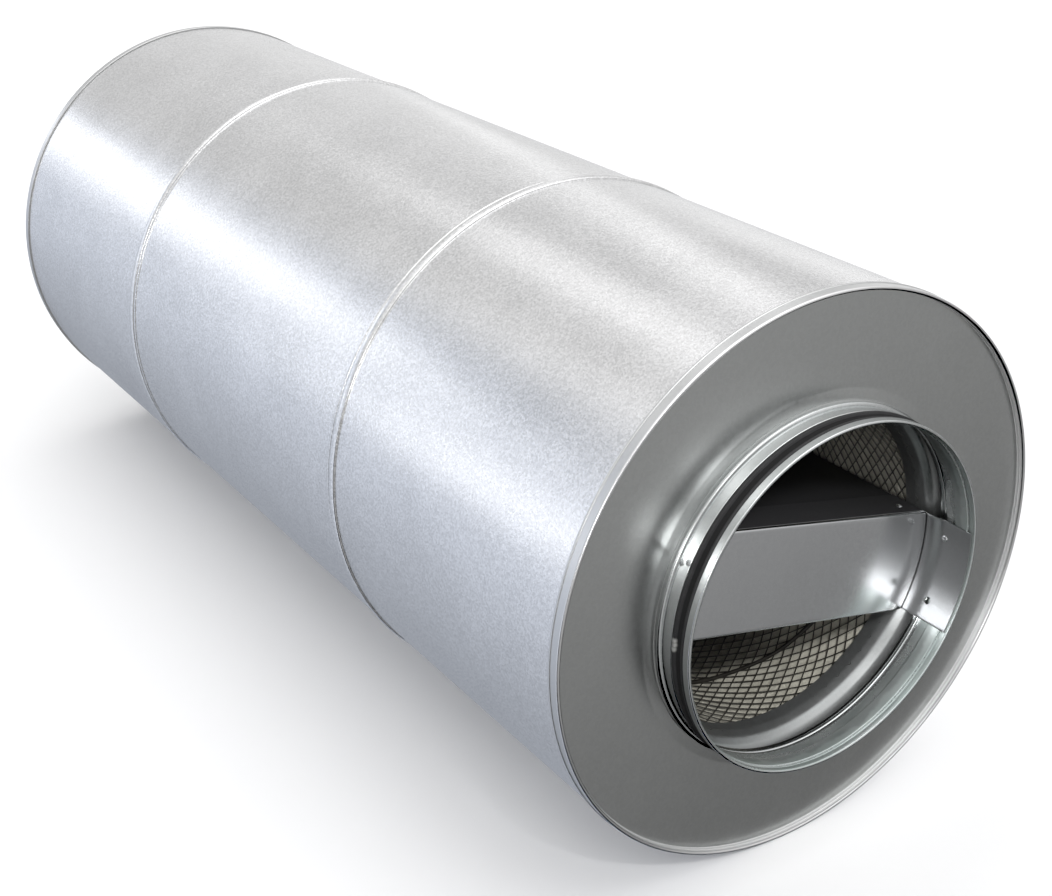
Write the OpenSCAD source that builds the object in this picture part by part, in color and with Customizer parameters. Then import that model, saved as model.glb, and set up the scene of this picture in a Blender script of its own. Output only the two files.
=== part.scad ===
// Round duct sound attenuator with a baffle across the air path.
// The duct axis is X, +X leaves through the front spigot, +Z is up, sizes are in mm.
// The origin is the middle of the duct axis.

/* [Duct connection] */
// Outside diameter of the spigots, which slide into a 315 mm round duct
spigot_d = 314; // [200:1:400]
// Spigot length from the end cap face to the lip
spigot_len = 41; // [38:1:80]
// Thickness of the spigot, ring and baffle sheet
sheet_t = 1; // [0.8:0.1:1.2]
// Width of the stop bead next to the end cap
bead_w = 5.5; // [4:0.5:6]
// Height of the stop bead
bead_h = 3; // [2:0.1:4]
// Start of the gasket groove, from the end cap face
groove_start = 18.5; // [14:0.5:20]
// Width of the gasket groove
groove_w = 15; // [12:0.5:16]
// Depth of the gasket groove
groove_d = 2.4; // [2:0.1:3]
// Width of the folded hem at the lip
lip_hem_w = 5; // [3:0.5:6]
// Width of the groove's sloped sides
groove_side = 1; // [0.5:0.1:1.5]
// How far the gasket lips stand out of the spigot wall
gasket_proud = 0.6; // [0.2:0.1:0.7]
// Width of a gasket lip's crown
gasket_lip_w = 1; // [0.6:0.1:1.5]

/* [Casing] */
// Length of the casing over its two rims
casing_len = 1200; // [600:10:1500]
// Length of each end section, from the rim to the ring seam
end_section_len = 358; // [150:1:400]
// Thickness of the casing sheet
casing_t = 1; // [0.7:0.1:1.5]
// Thickness of the end cap sheet
cap_t = 1; // [0.8:0.1:1.2]
// How far the rim stands in front of the end cap
rim_h = 7; // [5:0.5:10]
// Width of the rim seen from the end
rim_w = 3.4; // [3.4:0.2:6]
// Length of the rim fold over the casing
rim_hem = 12; // [7:0.5:16]
// Rise of the rim's rounded crown
rim_round = 2; // [1.5:0.1:3]
// Gap between the casing's edge and the foot of the crown
rim_room = 1.5; // [1:0.1:2]
// Width of the flat collar round the spigot
collar_flat_w = 3; // [3:0.5:8]
// Rise of the drawn collar round the spigot
collar_rise = 2; // [1.5:0.1:4]
// Width of the drawn slope round the spigot
collar_slope = 8; // [8:1:20]
// Width of a ring seam
seam_w = 9.5; // [5:0.5:10]
// Height of a ring seam above the casing
seam_h = 2.4; // [2.2:0.1:4]
// Height of the small bead beside a ring seam
side_bead_h = 1; // [0.5:0.1:1.5]
// Width of the small bead beside a ring seam
side_bead_w = 3.4; // [1.5:0.1:4]
// Distance of the small bead from the ring seam
side_bead_gap = 0.8; // [0.3:0.1:3]

/* [Lining] */
// Thickness of the mineral wool
lining_t = 100; // [50:5:150]
// Step from the spigot wall to the bore of the flared ring
ring_step = 6; // [4:0.5:8]
// Length of the flared ring
ring_len = 33; // [28:1:60]
// Radius of the flare
ring_flare = 16; // [8:0.5:18]
// Gap between the spigot's flange and the face of the flared ring
ring_gap = 2.9; // [2:0.1:5]
// Width of the ring's flange behind the end cap
ring_flange_w = 10; // [6:1:20]
// Room between the flare and the wool
mouth_room = 3; // [2:0.5:6]
// Thickness of the mesh tube
mesh_t = 1.2; // [0.8:0.1:2]
// Set-back of the mesh tube behind the flare
mesh_set = 5; // [2:0.5:10]
// Openings round the mesh tube
mesh_around = 12; // [8:1:12]
// Rows of openings along the mesh tube
mesh_rows = 10; // [4:1:10]
// Width of the strands between the openings
strand_w = 5; // [3:0.5:8]

/* [Baffle] */
// Thickness of the baffle over its two covers
baffle_t = 95; // [60:1:110]
// Turn of the baffle about the duct axis
baffle_roll = 12; // [-45:1:45]
// Depth of the flat nose behind the end cap face
nose_set = 10; // [6:1:30]
// Length of the nose's folded edges along the baffle
nose_fold = 40; // [35:1:100]
// Width of the edge channels' flanges
rail_flange = 27; // [24:1:50]
// Thickness of the dark facing sheets
facing_t = 0.9; // [0.5:0.1:1]

/* [Brackets and rivets] */
// Length of a bracket behind the end cap face
bracket_back = 62; // [40:1:120]
// Set-back of a bracket's front edge from the lip
bracket_front = 2.5; // [1:0.5:6]
// Set-in of a bracket's sides from the edges of the nose
bracket_side_in = 0.5; // [0.2:0.1:5]
// Length of a bracket's slope between its two radii
bracket_slope = 8.5; // [6:0.5:12]
// Distance from a rivet head to the start of the slope
head_room = 0.75; // [0.5:0.05:2]
// Depth of the bracket fixings in front of the end cap face
fixing_u = 10; // [10:0.5:12]
// Spacing of the two fixings across a bracket
fixing_gap = 60; // [40:1:70]
// Diameter of the open fixing hole
open_hole_d = 6.5; // [4:0.5:8]
// Rivet head diameter
rivet_head_d = 6.5; // [5:0.5:8]
// Rivet head height
rivet_head_h = 1.4; // [1:0.1:2]
// Rivet shank diameter
rivet_d = 3.2; // [2.4:0.1:4]
// Distance of the nose rivets behind the nose's face
nose_rivet_back = 16; // [10:1:30]
// Distance of the nose rivets in from the edge of the channel flange
nose_rivet_in = 8; // [5:0.5:12]

/* [Fits] */
// Gap between sheets that lie on each other
seat = 0.1; // [0.05:0.01:0.3]
// Gap between wool and sheet
wool_gap = 0.1; // [0.05:0.01:0.3]
// Gap between a bracket and the ring and channels beside it
bracket_gap = 0.2; // [0.1:0.05:0.4]
// Gap round a rivet shank
rivet_gap = 0.1; // [0.05:0.01:0.2]
// Gap between the gasket and its groove
gasket_gap = 0.05; // [0.02:0.01:0.1]
// Slit between the nose's free edge and a bracket
nose_slit = 1; // [0.5:0.1:2]

/* [Hidden] */
$fn = 96;
// Steps of a rounded fold
steps = 10;
// Share of a rivet head's height below its sloped crown
head_edge = 0.4;
rs = spigot_d / 2;
cap_x = casing_len / 2 - rim_h;
seam_x = casing_len / 2 - end_section_len;
// Radii from the air path outwards
ring_r = rs - ring_step;
mesh_r = ring_r + sheet_t + seat;
wool_r = mesh_r + mesh_t + wool_gap;
case_in = wool_r + lining_t + wool_gap;
case_r = case_in + casing_t;
hem_in = case_r + seat;
rim_r = hem_in + cap_t;
rim_in = rim_r - rim_w;
rim_mid = (rim_in + rim_r) / 2;
rim_half = rim_w / 2;
rim_base = rim_h - rim_round;
fold_x = seam_x - seam_w * 5 / 6;
lap_x = seam_x + seam_w / 6;
// Axial places measured from the end cap face
bead_start = collar_rise + seat;
flange_top = collar_rise - cap_t - seat;
collar_flat = rs + collar_flat_w;
flange_r = collar_flat - sheet_t / 2;
collar_out = collar_flat + collar_slope;
ring_face = flange_top - sheet_t - ring_gap;
groove_end = groove_start + groove_w;
ring_mid = ring_face - ring_flare;
ring_end = ring_face - ring_len;
// Baffle layers from the middle outwards
nose_z = baffle_t / 2;
layer_z = nose_z - sheet_t - seat;
core_z = layer_z - facing_t - seat;
bracket_in = ring_r - bracket_gap - sheet_t;
web_r = bracket_in - bracket_gap;
nose_r = bracket_in - nose_slit;
rail_x = cap_x - nose_set - sheet_t - seat;
rail_y = sqrt(pow(web_r, 2) - pow(layer_z, 2)) - rail_flange;
rivet_y = rail_y + nose_rivet_in;
tab_r = rs - groove_d - sheet_t - seat;
tab_half = asin((nose_z - bracket_side_in) / tab_r);
fixing_a = asin(fixing_gap / 2 / tab_r);
// Reach of a fixing's hole to each side of the spigot wall
hole_reach = 2 * (groove_d + 2 * sheet_t);
mesh_end = cap_x + ring_mid - mesh_set;
mesh_pitch = 2 * mesh_end / (mesh_rows + 1);

function flip(p) = [for (i = [len(p) - 1 : -1 : 0]) p[i]];
function on_arc(cr, cu, r, a) = [cr + r * cos(a), cu + r * sin(a)];
function arc(cr, cu, r, a0, a1, n) = [for (i = [0 : n]) on_arc(cr, cu, r, a0 + (a1 - a0) * i / n)];
function inward(p, t) = [for (q = p) [q[0] - t, q[1]]];
function lower(p, t) = [for (q = p) [q[0], q[1] - t]];
function rim_arch(w, h) =
  [for (i = [0 : steps]) [rim_mid + w * cos(180 * i / steps), rim_base + h * sin(180 * i / steps)]];
function gasket_lip(g0, g1, low, top) =
  [[low, g0], [top, g0 + gasket_lip_w], [top, g0 + 2 * gasket_lip_w], [low, g1]];

// Turns a flat outline of radius and axial place about the duct axis
module turned() rotate([0, 90, 0]) rotate_extrude() children();
// Places the children at the front or the rear end cap face
module front() translate([cap_x, 0, 0]) children();
module rear() mirror([1, 0, 0]) front() children();
// Gives the children the baffle's turn
module rolled() rotate([-baffle_roll, 0, 0]) children();

// Casing section from a ring seam to the folded rim
module end_section_shape() {
  end_x = cap_x + rim_base - rim_room;
  top_r = case_r + seam_h;
  foot_r = case_r + seat;
  vault_r = top_r - casing_t;
  fold = [[top_r, fold_x + casing_t / 2], [top_r - casing_t / 2, fold_x], [foot_r, fold_x]];
  inside = [[foot_r, fold_x + casing_t], [vault_r, fold_x + casing_t], [vault_r, lap_x], [case_in, lap_x]];
  end = [[case_in, end_x], [case_r, end_x]];
  turned() polygon(concat(fold, inside, end, [[case_r, lap_x + casing_t], [top_r, lap_x + casing_t]]));
}

// Middle section with a turned-up edge inside each ring seam and a small bead beside it
module middle_section_shape() {
  end_x = lap_x - seat;
  bead_x = fold_x - side_bead_gap - side_bead_w;
  edge_r = case_r + seam_h - casing_t - seat;
  edge_x = seam_x - casing_t / 2;
  bead = [for (i = [0 : steps])
    [case_r + side_bead_h * sin(180 * i / steps), bead_x + side_bead_w * i / steps]];
  edge = [[case_r, edge_x - casing_t], [edge_r, edge_x - casing_t], [edge_r, edge_x], [case_r, edge_x]];
  half = concat(bead, edge, [[case_r, end_x], [case_in, end_x]]);
  turned() polygon(concat(half, flip([for (q = half) [q[0], -q[1]]])));
}

// Ring plate, drawn up to the spigot and folded round the casing's end
module cap_shape() {
  slope = [for (i = [0 : steps])
    [collar_flat + collar_slope * i / steps, collar_rise * (1 + cos(180 * i / steps)) / 2]];
  top = concat([[rs + seat, collar_rise]], slope, [[rim_in, 0]]);
  under = concat([[rs + seat, collar_rise - cap_t]], lower(slope, cap_t), [[rim_in + cap_t, -cap_t]]);
  crown = rim_arch(-rim_half, rim_round);
  vault = rim_arch(rim_half - cap_t, rim_round - cap_t);
  hem = [[rim_r, rim_h - rim_hem], [hem_in, rim_h - rim_hem]];
  turned() polygon(concat(top, crown, hem, vault, flip(under)));
}

// Rolled collar with its bead, gasket groove and hemmed lip
module spigot_shape() {
  bead = [for (i = [0 : steps]) [rs + bead_h * sin(180 * i / steps), bead_start + bead_w * i / steps]];
  groove_r = rs - groove_d;
  groove_a = [[rs, groove_start], [groove_r, groove_start + groove_side]];
  groove_b = [[groove_r, groove_end - groove_side], [rs, groove_end]];
  wall = concat(bead, groove_a, groove_b);
  lip_u = spigot_len - sheet_t;
  lip_in = rs - 2 * sheet_t;
  lip = concat(arc(rs - sheet_t, lip_u, sheet_t, 0, 90, steps), arc(lip_in, lip_u, sheet_t, 90, 180, steps));
  hem = [[lip_in - sheet_t, spigot_len - lip_hem_w], [rs - sheet_t, spigot_len - lip_hem_w]];
  foot_u = flange_top - sheet_t;
  foot = [[rs - sheet_t, foot_u], [flange_r, foot_u], [flange_r, flange_top], [rs, flange_top]];
  difference() {
    turned() polygon(concat(wall, lip, hem, flip(inward(wall, sheet_t)), foot));
    for (s = [0, 180]) rolled() rotate([s, 0, 0]) fixing_place(fixing_a) rivet_hole();
  }
}

// Round hole for a rivet shank
module rivet_hole() cylinder(d = rivet_d + 2 * rivet_gap, h = 2 * hole_reach);

// Axis of a bracket fixing, pointing out from the duct axis
module fixing_place(a)
  rotate([a, 0, 0]) translate([fixing_u, rs - hole_reach, 0]) rotate([-90, 0, 0]) children();

// Two-lip rubber ring in the groove
module gasket_shape() {
  g0 = groove_start + groove_side + gasket_gap;
  g1 = groove_end - groove_side - gasket_gap;
  gm = (g0 + g1) / 2;
  low = rs - groove_d / 2;
  top = rs + gasket_proud;
  base_r = rs - groove_d + gasket_gap;
  lips = concat(gasket_lip(g0, gm - gasket_lip_w / 2, low, top), gasket_lip(gm, g1, low, top));
  turned() polygon(concat([[base_r, g0]], lips, [[base_r, g1]]));
}

// Flared ring with a flange fixed behind the end cap
module ring_shape() {
  back = -cap_t - seat;
  cr = ring_r + ring_flare;
  flange_in = collar_out + 2 * sheet_t;
  flange = [[flange_in + ring_flange_w, back], [flange_in, back], [cr + sheet_t, ring_face]];
  face = concat(flange, arc(cr, ring_mid, ring_flare, 90, 180, steps));
  rest = concat(arc(cr, ring_mid, ring_flare - sheet_t, 180, 90, steps), flip(lower(flange, sheet_t)));
  turned() polygon(concat(face, [[ring_r, ring_end], [ring_r + sheet_t, ring_end]], rest));
}

// Wool tube with a wider mouth round the flare at each end
module wool_shape() {
  end_x = cap_x + ring_face - sheet_t - 2 * wool_gap;
  step_x = cap_x + ring_mid - mouth_room / 2;
  mouth_r = ring_r + ring_flare + mouth_room;
  out_r = wool_r + lining_t;
  half = [[out_r, end_x], [mouth_r, end_x], [mouth_r, step_x], [wool_r, step_x]];
  turned() polygon(concat(half, flip([for (q = half) [q[0], -q[1]]])));
}

// Mesh tube with staggered diamond openings
module mesh_shape() {
  across = PI * (mesh_r + mesh_t / 2) / mesh_around - strand_w / 2;
  along = mesh_pitch - strand_w * 1.5;
  difference() {
    turned() translate([mesh_r, -mesh_end]) square([mesh_t, 2 * mesh_end]);
    for (row = [1 : mesh_rows]) for (i = [0 : mesh_around - 1])
      rotate([(i + (row % 2) / 2) * 360 / mesh_around, 0, 0])
        translate([row * mesh_pitch - mesh_end, 0, mesh_r - across]) linear_extrude(2 * across)
          polygon([[-along, 0], [0, -across], [along, 0], [0, across]]);
  }
}

// Extrudes a cross-section seen from the front along the duct axis between two places
module along_x(x0, x1) translate([x0, 0, 0]) rotate([90, 0, 90]) linear_extrude(x1 - x0) children();

// Wool slab that fills the baffle
module core_shape() rolled() along_x(-rail_x, rail_x) intersection() {
  circle(r = web_r - sheet_t - wool_gap);
  square([3 * rs, 2 * core_z], center = true);
}

// Dark sheet on one face of the slab
module facing_shape(side) rolled() along_x(-rail_x, rail_x)
  translate([seat - rail_y, side > 0 ? layer_z - facing_t : -layer_z])
    square([2 * (rail_y - seat), facing_t]);

// Channel along one long edge of the slab, with holes for the nose rivets
module rail_shape(side) rolled() difference() {
  along_x(-rail_x, rail_x) intersection() {
    circle(r = web_r);
    translate([side > 0 ? rail_y : -2 * rs, -layer_z]) square([2 * rs - rail_y, 2 * layer_z]);
    difference() {
      square([3 * rs, 2 * layer_z], center = true);
      intersection() {
        circle(r = web_r - sheet_t);
        square([4 * rs, 2 * (layer_z - facing_t)], center = true);
      }
    }
  }
  nose_holes();
}

// Shank holes of the nose rivets at both ends
module nose_holes() for (e = [-1, 1]) for (y = [-1, 1])
  translate([e * (cap_x - nose_set - nose_rivet_back), y * rivet_y, -baffle_t])
    cylinder(d = rivet_d + 2 * rivet_gap, h = 2 * baffle_t);

// Sheet cover folded over the end of the slab, its ends cut to the round wall
module nose_shape() rolled() difference() {
  along_x(cap_x - nose_set - nose_fold, cap_x - nose_set) intersection() {
    circle(r = nose_r);
    square([3 * rs, 2 * nose_z], center = true);
  }
  translate([cap_x - nose_set - sheet_t - 2 * nose_fold, -2 * rs, sheet_t - nose_z])
    cube([2 * nose_fold, 4 * rs, 2 * (nose_z - sheet_t)]);
  nose_holes();
}

// Curved tab that runs from the lip to behind the nose on one side
module bracket_shape(side) {
  u0 = spigot_len - bracket_front;
  bend = fixing_u - rivet_head_d / 2 - head_room;
  back_r = bracket_in + sheet_t;
  outer = [[tab_r, u0], [tab_r, bend], [back_r, bend - bracket_slope], [back_r, -bracket_back]];
  rolled() rotate([side > 0 ? 0 : 180, 0, 0]) difference() {
    rotate([90 - tab_half, 0, 0]) rotate([0, 90, 0]) rotate_extrude(angle = 2 * tab_half)
      polygon(concat(outer, flip(inward(outer, sheet_t))));
    fixing_place(fixing_a) rivet_hole();
    fixing_place(-fixing_a) cylinder(d = open_hole_d, h = 2 * hole_reach);
  }
}

// Rivet whose head lies at z = 0 and whose shank runs along -Z
module rivet(shank) {
  edge_h = rivet_head_h * head_edge;
  translate([0, 0, -shank]) cylinder(d = rivet_d, h = shank + edge_h);
  cylinder(d = rivet_head_d, h = edge_h);
  translate([0, 0, edge_h]) cylinder(d1 = rivet_head_d, d2 = rivet_head_d / 2, h = rivet_head_h - edge_h);
}

module casing_front() color("silver") end_section_shape();
module casing_middle() color("silver") middle_section_shape();
module casing_rear() color("silver") mirror([1, 0, 0]) end_section_shape();
module end_cap_front() color("gray") front() cap_shape();
module end_cap_rear() color("gray") rear() cap_shape();
module spigot_front() color("silver") front() spigot_shape();
module spigot_rear() color("silver") rear() spigot_shape();
module gasket_front() color("black") front() gasket_shape();
module gasket_rear() color("black") rear() gasket_shape();
module inner_ring_front() color("silver") front() ring_shape();
module inner_ring_rear() color("silver") rear() ring_shape();
module wool_lining() color("tan") wool_shape();
module mesh_liner() color("dimgray") mesh_shape();
module baffle_core() color("tan") core_shape();
module baffle_facing_upper() color("black") facing_shape(1);
module baffle_facing_lower() color("black") facing_shape(-1);
module baffle_rail_left() color("silver") rail_shape(-1);
module baffle_rail_right() color("silver") rail_shape(1);
module baffle_nose_front() color("silver") nose_shape();
module baffle_nose_rear() color("silver") mirror([1, 0, 0]) nose_shape();
module bracket_front_left() color("silver") front() bracket_shape(-1);
module bracket_front_right() color("silver") front() bracket_shape(1);
module bracket_rear_left() color("silver") rear() bracket_shape(-1);
module bracket_rear_right() color("silver") rear() bracket_shape(1);
// One rivet on each bracket, its head towards the air
module bracket_rivets() color("silver") {
  head_r = tab_r - sheet_t - seat;
  for (m = [0, 1]) mirror([m, 0, 0]) front() rolled() for (s = [0, 180]) rotate([s, 0, 0])
    fixing_place(fixing_a) translate([0, 0, head_r - rs + hole_reach]) rotate([180, 0, 0])
      rivet(rs - seat - head_r);
}
// Rivets on the folded edges of both noses
module nose_rivets() color("silver") {
  shank = nose_z - layer_z + facing_t;
  rolled() for (e = [-1, 1]) for (y = [-1, 1]) for (s = [0, 1]) mirror([0, 0, s])
    translate([e * (cap_x - nose_set - nose_rivet_back), y * rivet_y, nose_z + seat]) rivet(shank);
}

casing_front();
casing_middle();
casing_rear();
end_cap_front();
end_cap_rear();
spigot_front();
spigot_rear();
gasket_front();
gasket_rear();
inner_ring_front();
inner_ring_rear();
wool_lining();
mesh_liner();
baffle_core();
baffle_facing_upper();
baffle_facing_lower();
baffle_rail_left();
baffle_rail_right();
baffle_nose_front();
baffle_nose_rear();
bracket_front_left();
bracket_front_right();
bracket_rear_left();
bracket_rear_right();
bracket_rivets();
nose_rivets();
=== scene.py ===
"""Round duct sound attenuator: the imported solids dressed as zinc-coated sheet, rubber, wool and wire mesh."""

import math

import bpy
from mathutils import Matrix, Vector


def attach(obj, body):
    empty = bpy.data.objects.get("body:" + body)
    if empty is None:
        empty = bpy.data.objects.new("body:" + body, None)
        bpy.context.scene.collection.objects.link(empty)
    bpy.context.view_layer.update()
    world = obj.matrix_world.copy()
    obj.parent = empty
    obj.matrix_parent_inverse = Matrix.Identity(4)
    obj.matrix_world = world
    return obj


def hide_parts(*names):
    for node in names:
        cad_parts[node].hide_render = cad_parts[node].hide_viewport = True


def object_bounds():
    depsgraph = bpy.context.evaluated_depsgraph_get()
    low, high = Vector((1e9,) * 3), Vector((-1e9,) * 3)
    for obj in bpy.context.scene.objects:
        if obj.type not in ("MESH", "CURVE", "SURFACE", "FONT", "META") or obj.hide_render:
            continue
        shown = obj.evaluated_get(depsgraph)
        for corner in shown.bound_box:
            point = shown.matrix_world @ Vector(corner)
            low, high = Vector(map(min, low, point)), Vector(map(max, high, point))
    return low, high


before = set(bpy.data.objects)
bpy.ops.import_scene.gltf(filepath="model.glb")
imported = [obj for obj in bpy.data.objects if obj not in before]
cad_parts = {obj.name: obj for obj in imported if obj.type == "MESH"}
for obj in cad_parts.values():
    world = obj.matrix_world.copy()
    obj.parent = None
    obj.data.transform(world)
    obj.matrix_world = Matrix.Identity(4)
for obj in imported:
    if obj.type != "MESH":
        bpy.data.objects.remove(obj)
CAD_BOX = [list(corner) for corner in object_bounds()]

bl_info = {
    "name": "Duct sound attenuator",
    "version": (1, 0, 0),
    "blender": (4, 5, 0),
    "location": "3D View > Sidebar > Attenuator",
    "description": "Builds a round duct sound attenuator with its lining, baffle and studio stage",
    "category": "Object",
}

FULL_TURN = 2 * math.pi
MERGE = 2e-6
FINE_STEPS = 288
CORNER_STEPS = 5
HOLD = 0.0006
ENDS = (("front", 1), ("rear", -1))
SIDES = (("right", 0.0), ("left", math.pi))

# Marks on the casing: place along the axis, angle and reach in degrees, lean, width
SCUFFS = (
    (-0.092, 124.0, 8.0, 0.0017, 0.0007),
    (0.453, 171.0, 0.9, 0.002, 0.0010),
    (0.325, 154.0, 2.5, 0.004, 0.0004),
    (0.331, 155.0, 2.0, 0.003, 0.0004),
)
# Spots on the front spigot and its gasket: place in front of the cap, angle in degrees, reach
WELDS = ((0.0095, 154.8, 0.0034), (0.0160, 153.8, 0.0030))
SPLICE = ((0.0222, 176.9, 0.0034), (0.0229, 178.2, 0.0034), (0.0221, 179.6, 0.0034))
# Studio light round the duct axis: angle in degrees, strength, tint
PLAIN, COOL = (1.0, 1.0, 1.0), (0.92, 0.98, 1.10)
SKY = (
    (-60, 0.38, COOL), (0, 0.86, PLAIN), (30, 0.80, PLAIN), (60, 0.72, PLAIN), (95, 0.66, PLAIN),
    (118, 0.68, PLAIN), (140, 0.72, COOL), (192, 0.75, COOL), (211, 0.67, COOL), (229, 0.55, COOL),
    (246, 0.49, COOL), (265, 0.42, COOL), (300, 0.38, COOL),
)
# Bright and dim bands: middle in degrees, lean, where the lean starts, width, strength, fades along X
BANDS = (
    (148.0, 110.0, 0.904, 12.0, 1.25, ((-0.84, -0.80, 1.0, 0.12),)),
    (173.0, 60.0, 0.777, 9.0, 1.75, ((-0.81, -0.74, 0.0, 1.0), (-0.725, -0.69, 1.0, 0.0))),
    (48.5, 350.0, 0.712, 7.0, 1.4, ((-0.76, -0.70, 0.22, 1.0), (-0.86, -0.82, 0.0, 1.0))),
    (139.0, 0.0, 0.0, 9.0, -0.4, ((-0.80, -0.74, 0.0, 1.0),)),
    (31.0, 0.0, 0.0, 7.0, -0.25, ((-0.76, -0.71, 0.0, 1.0),)),
    (66.0, 0.0, 0.0, 7.0, -0.22, ((-0.79, -0.73, 0.0, 1.0),)),
    (5.0, 0.0, 0.0, 12.0, 0.2, ((-0.76, -0.70, 0.0, 1.0),)),
    (84.0, 0.0, 0.0, 6.0, 0.95, ((-0.83, -0.77, 0.0, 1.0),)),
    (120.0, 0.0, 0.0, 6.0, 0.75, ((-0.775, -0.735, 0.0, 1.0),)),
)
# Lap wire of the mesh: place and run along the axis, start and sweep in degrees, thickness in strands, steps
LAP_PLACE, LAP_RUN, LAP_START, LAP_SWEEP, LAP_THICK, LAP_STEPS = 0.478, 0.05, -115, 110, 2.8, 48
MESH_SLACK = 0.008
# Beams: direction, focus, strength
BEAMS = (((0.58, -0.774, 0.243), 260.0, 22.0), ((0.1, 0.1, 0.99), 7.0, 1.65), ((0.66, -0.3, 0.69), 100.0, 3.8))


def length(name, text, value):
    return bpy.props.FloatProperty(name=name, description=text, default=value, min=0.0, unit="LENGTH")


def turn_angle(name, text, degrees):
    return bpy.props.FloatProperty(
        name=name, description=text, default=math.radians(degrees), unit="ROTATION"
    )


def level(name, text, value):
    return bpy.props.FloatProperty(name=name, description=text, default=value, min=0.0)


def position(name, text, value):
    return bpy.props.FloatVectorProperty(name=name, description=text, default=value, size=3, unit="LENGTH")


def count(name, text, value):
    return bpy.props.IntProperty(name=name, description=text, default=value, min=3)


def colour(name, text, value):
    return bpy.props.FloatVectorProperty(
        name=name, description=text, default=value, size=3, min=0.0, max=1.0, subtype="COLOR"
    )


class DuctSizes(bpy.types.PropertyGroup):
    """Sizes of the spigots and their gaskets"""

    cap_place: length("Cap place", "Distance of an end cap's face from the middle of the unit", 0.593)
    radius: length("Spigot radius", "Outside radius of a spigot", 0.157)
    reach: length("Spigot length", "Length of a spigot in front of the end cap", 0.041)
    sheet: length("Sheet", "Thickness of the spigot sheet", 0.001)
    bead_start: length("Bead start", "Start of the stop bead in front of the cap", 0.0028)
    bead_width: length("Bead width", "Width of the stop bead", 0.0048)
    bead_height: length("Bead height", "Height of the stop bead", 0.003)
    groove_start: length("Groove start", "Start of the gasket groove in front of the cap", 0.0185)
    groove_width: length("Groove width", "Width of the gasket groove", 0.015)
    groove_depth: length("Groove depth", "Depth of the gasket groove", 0.0024)
    hem: length("Lip hem", "Width of the folded hem at the lip", 0.005)
    gasket_proud: length("Gasket lips", "Height of the gasket lips above the spigot wall", 0.0006)


class CasingSizes(bpy.types.PropertyGroup):
    """Sizes of the casing and the end caps"""

    radius: length("Casing radius", "Outside radius of the casing", 0.2545)
    sheet: length("Casing sheet", "Thickness of the casing sheet", 0.001)
    rim_height: length("Rim height", "Height of the folded rim in front of the cap", 0.007)
    rim_width: length("Rim width", "Width of the folded rim seen from the end", 0.0034)
    rim_crown: length("Rim crown", "Rise of the rounded crown of the rim", 0.002)
    rim_hem: length("Rim hem", "Length of the rim fold over the casing", 0.012)
    seam_start: length("Seam start", "Inner edge of a ring seam, from the middle of the unit", 0.23408)
    seam_width: length("Seam width", "Width of a ring seam", 0.0105)
    seam_height: length("Seam height", "Height of a ring seam", 0.0024)
    side_bead_start: length("Side bead start", "Start of the small bead beside a ring seam", 0.22988)
    side_bead_width: length("Side bead width", "Width of the small bead beside a ring seam", 0.0034)
    side_bead_height: length("Side bead height", "Height of the small bead beside a ring seam", 0.001)
    collar_rise: length("Collar rise", "Rise of the cap where it meets a spigot", 0.002)
    collar_flat: length("Collar flat", "Width of the flat collar round a spigot", 0.0006)
    collar_slope: length("Collar slope", "Width of the slope round the collar", 0.0125)


class LiningSizes(bpy.types.PropertyGroup):
    """Sizes of the flared rings, the mesh tube and the wool"""

    bore: length("Ring bore", "Bore radius of a flared ring", 0.151)
    flare: length("Flare", "Radius of the flare", 0.016)
    ring_face: length("Ring face", "Depth of the flare's face behind the cap", 0.003)
    ring_length: length("Ring length", "Length of a flared ring", 0.033)
    flange_radius: length("Ring flange", "Outside radius of the ring's flange", 0.18)
    mesh_radius: length("Mesh radius", "Middle radius of the mesh tube", 0.1527)
    mesh_reach: length("Mesh reach", "Distance of the mesh tube's ends from the middle", 0.569)
    strands: count("Strands", "Strands of each direction round the mesh tube", 62)
    strand: length("Strand", "Half thickness of a mesh strand", 0.0007)
    strand_step: length("Strand step", "Length of one opening along the tube", 0.0101)
    wool_radius: length("Wool radius", "Inside radius of the wool", 0.1535)
    wool_outside: length("Wool outside", "Outside radius of the wool", 0.2534)
    wool_reach: length("Wool reach", "Distance of the wool's ends from the middle", 0.5888)
    mouth_radius: length("Wool mouth", "Radius of the wider mouth of the wool", 0.17)
    mouth_reach: length("Wool mouth place", "Distance of the mouth's step from the middle", 0.5725)
    lumps: length("Wool lumps", "Height of the lumps in the wool", 0.0016)


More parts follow.
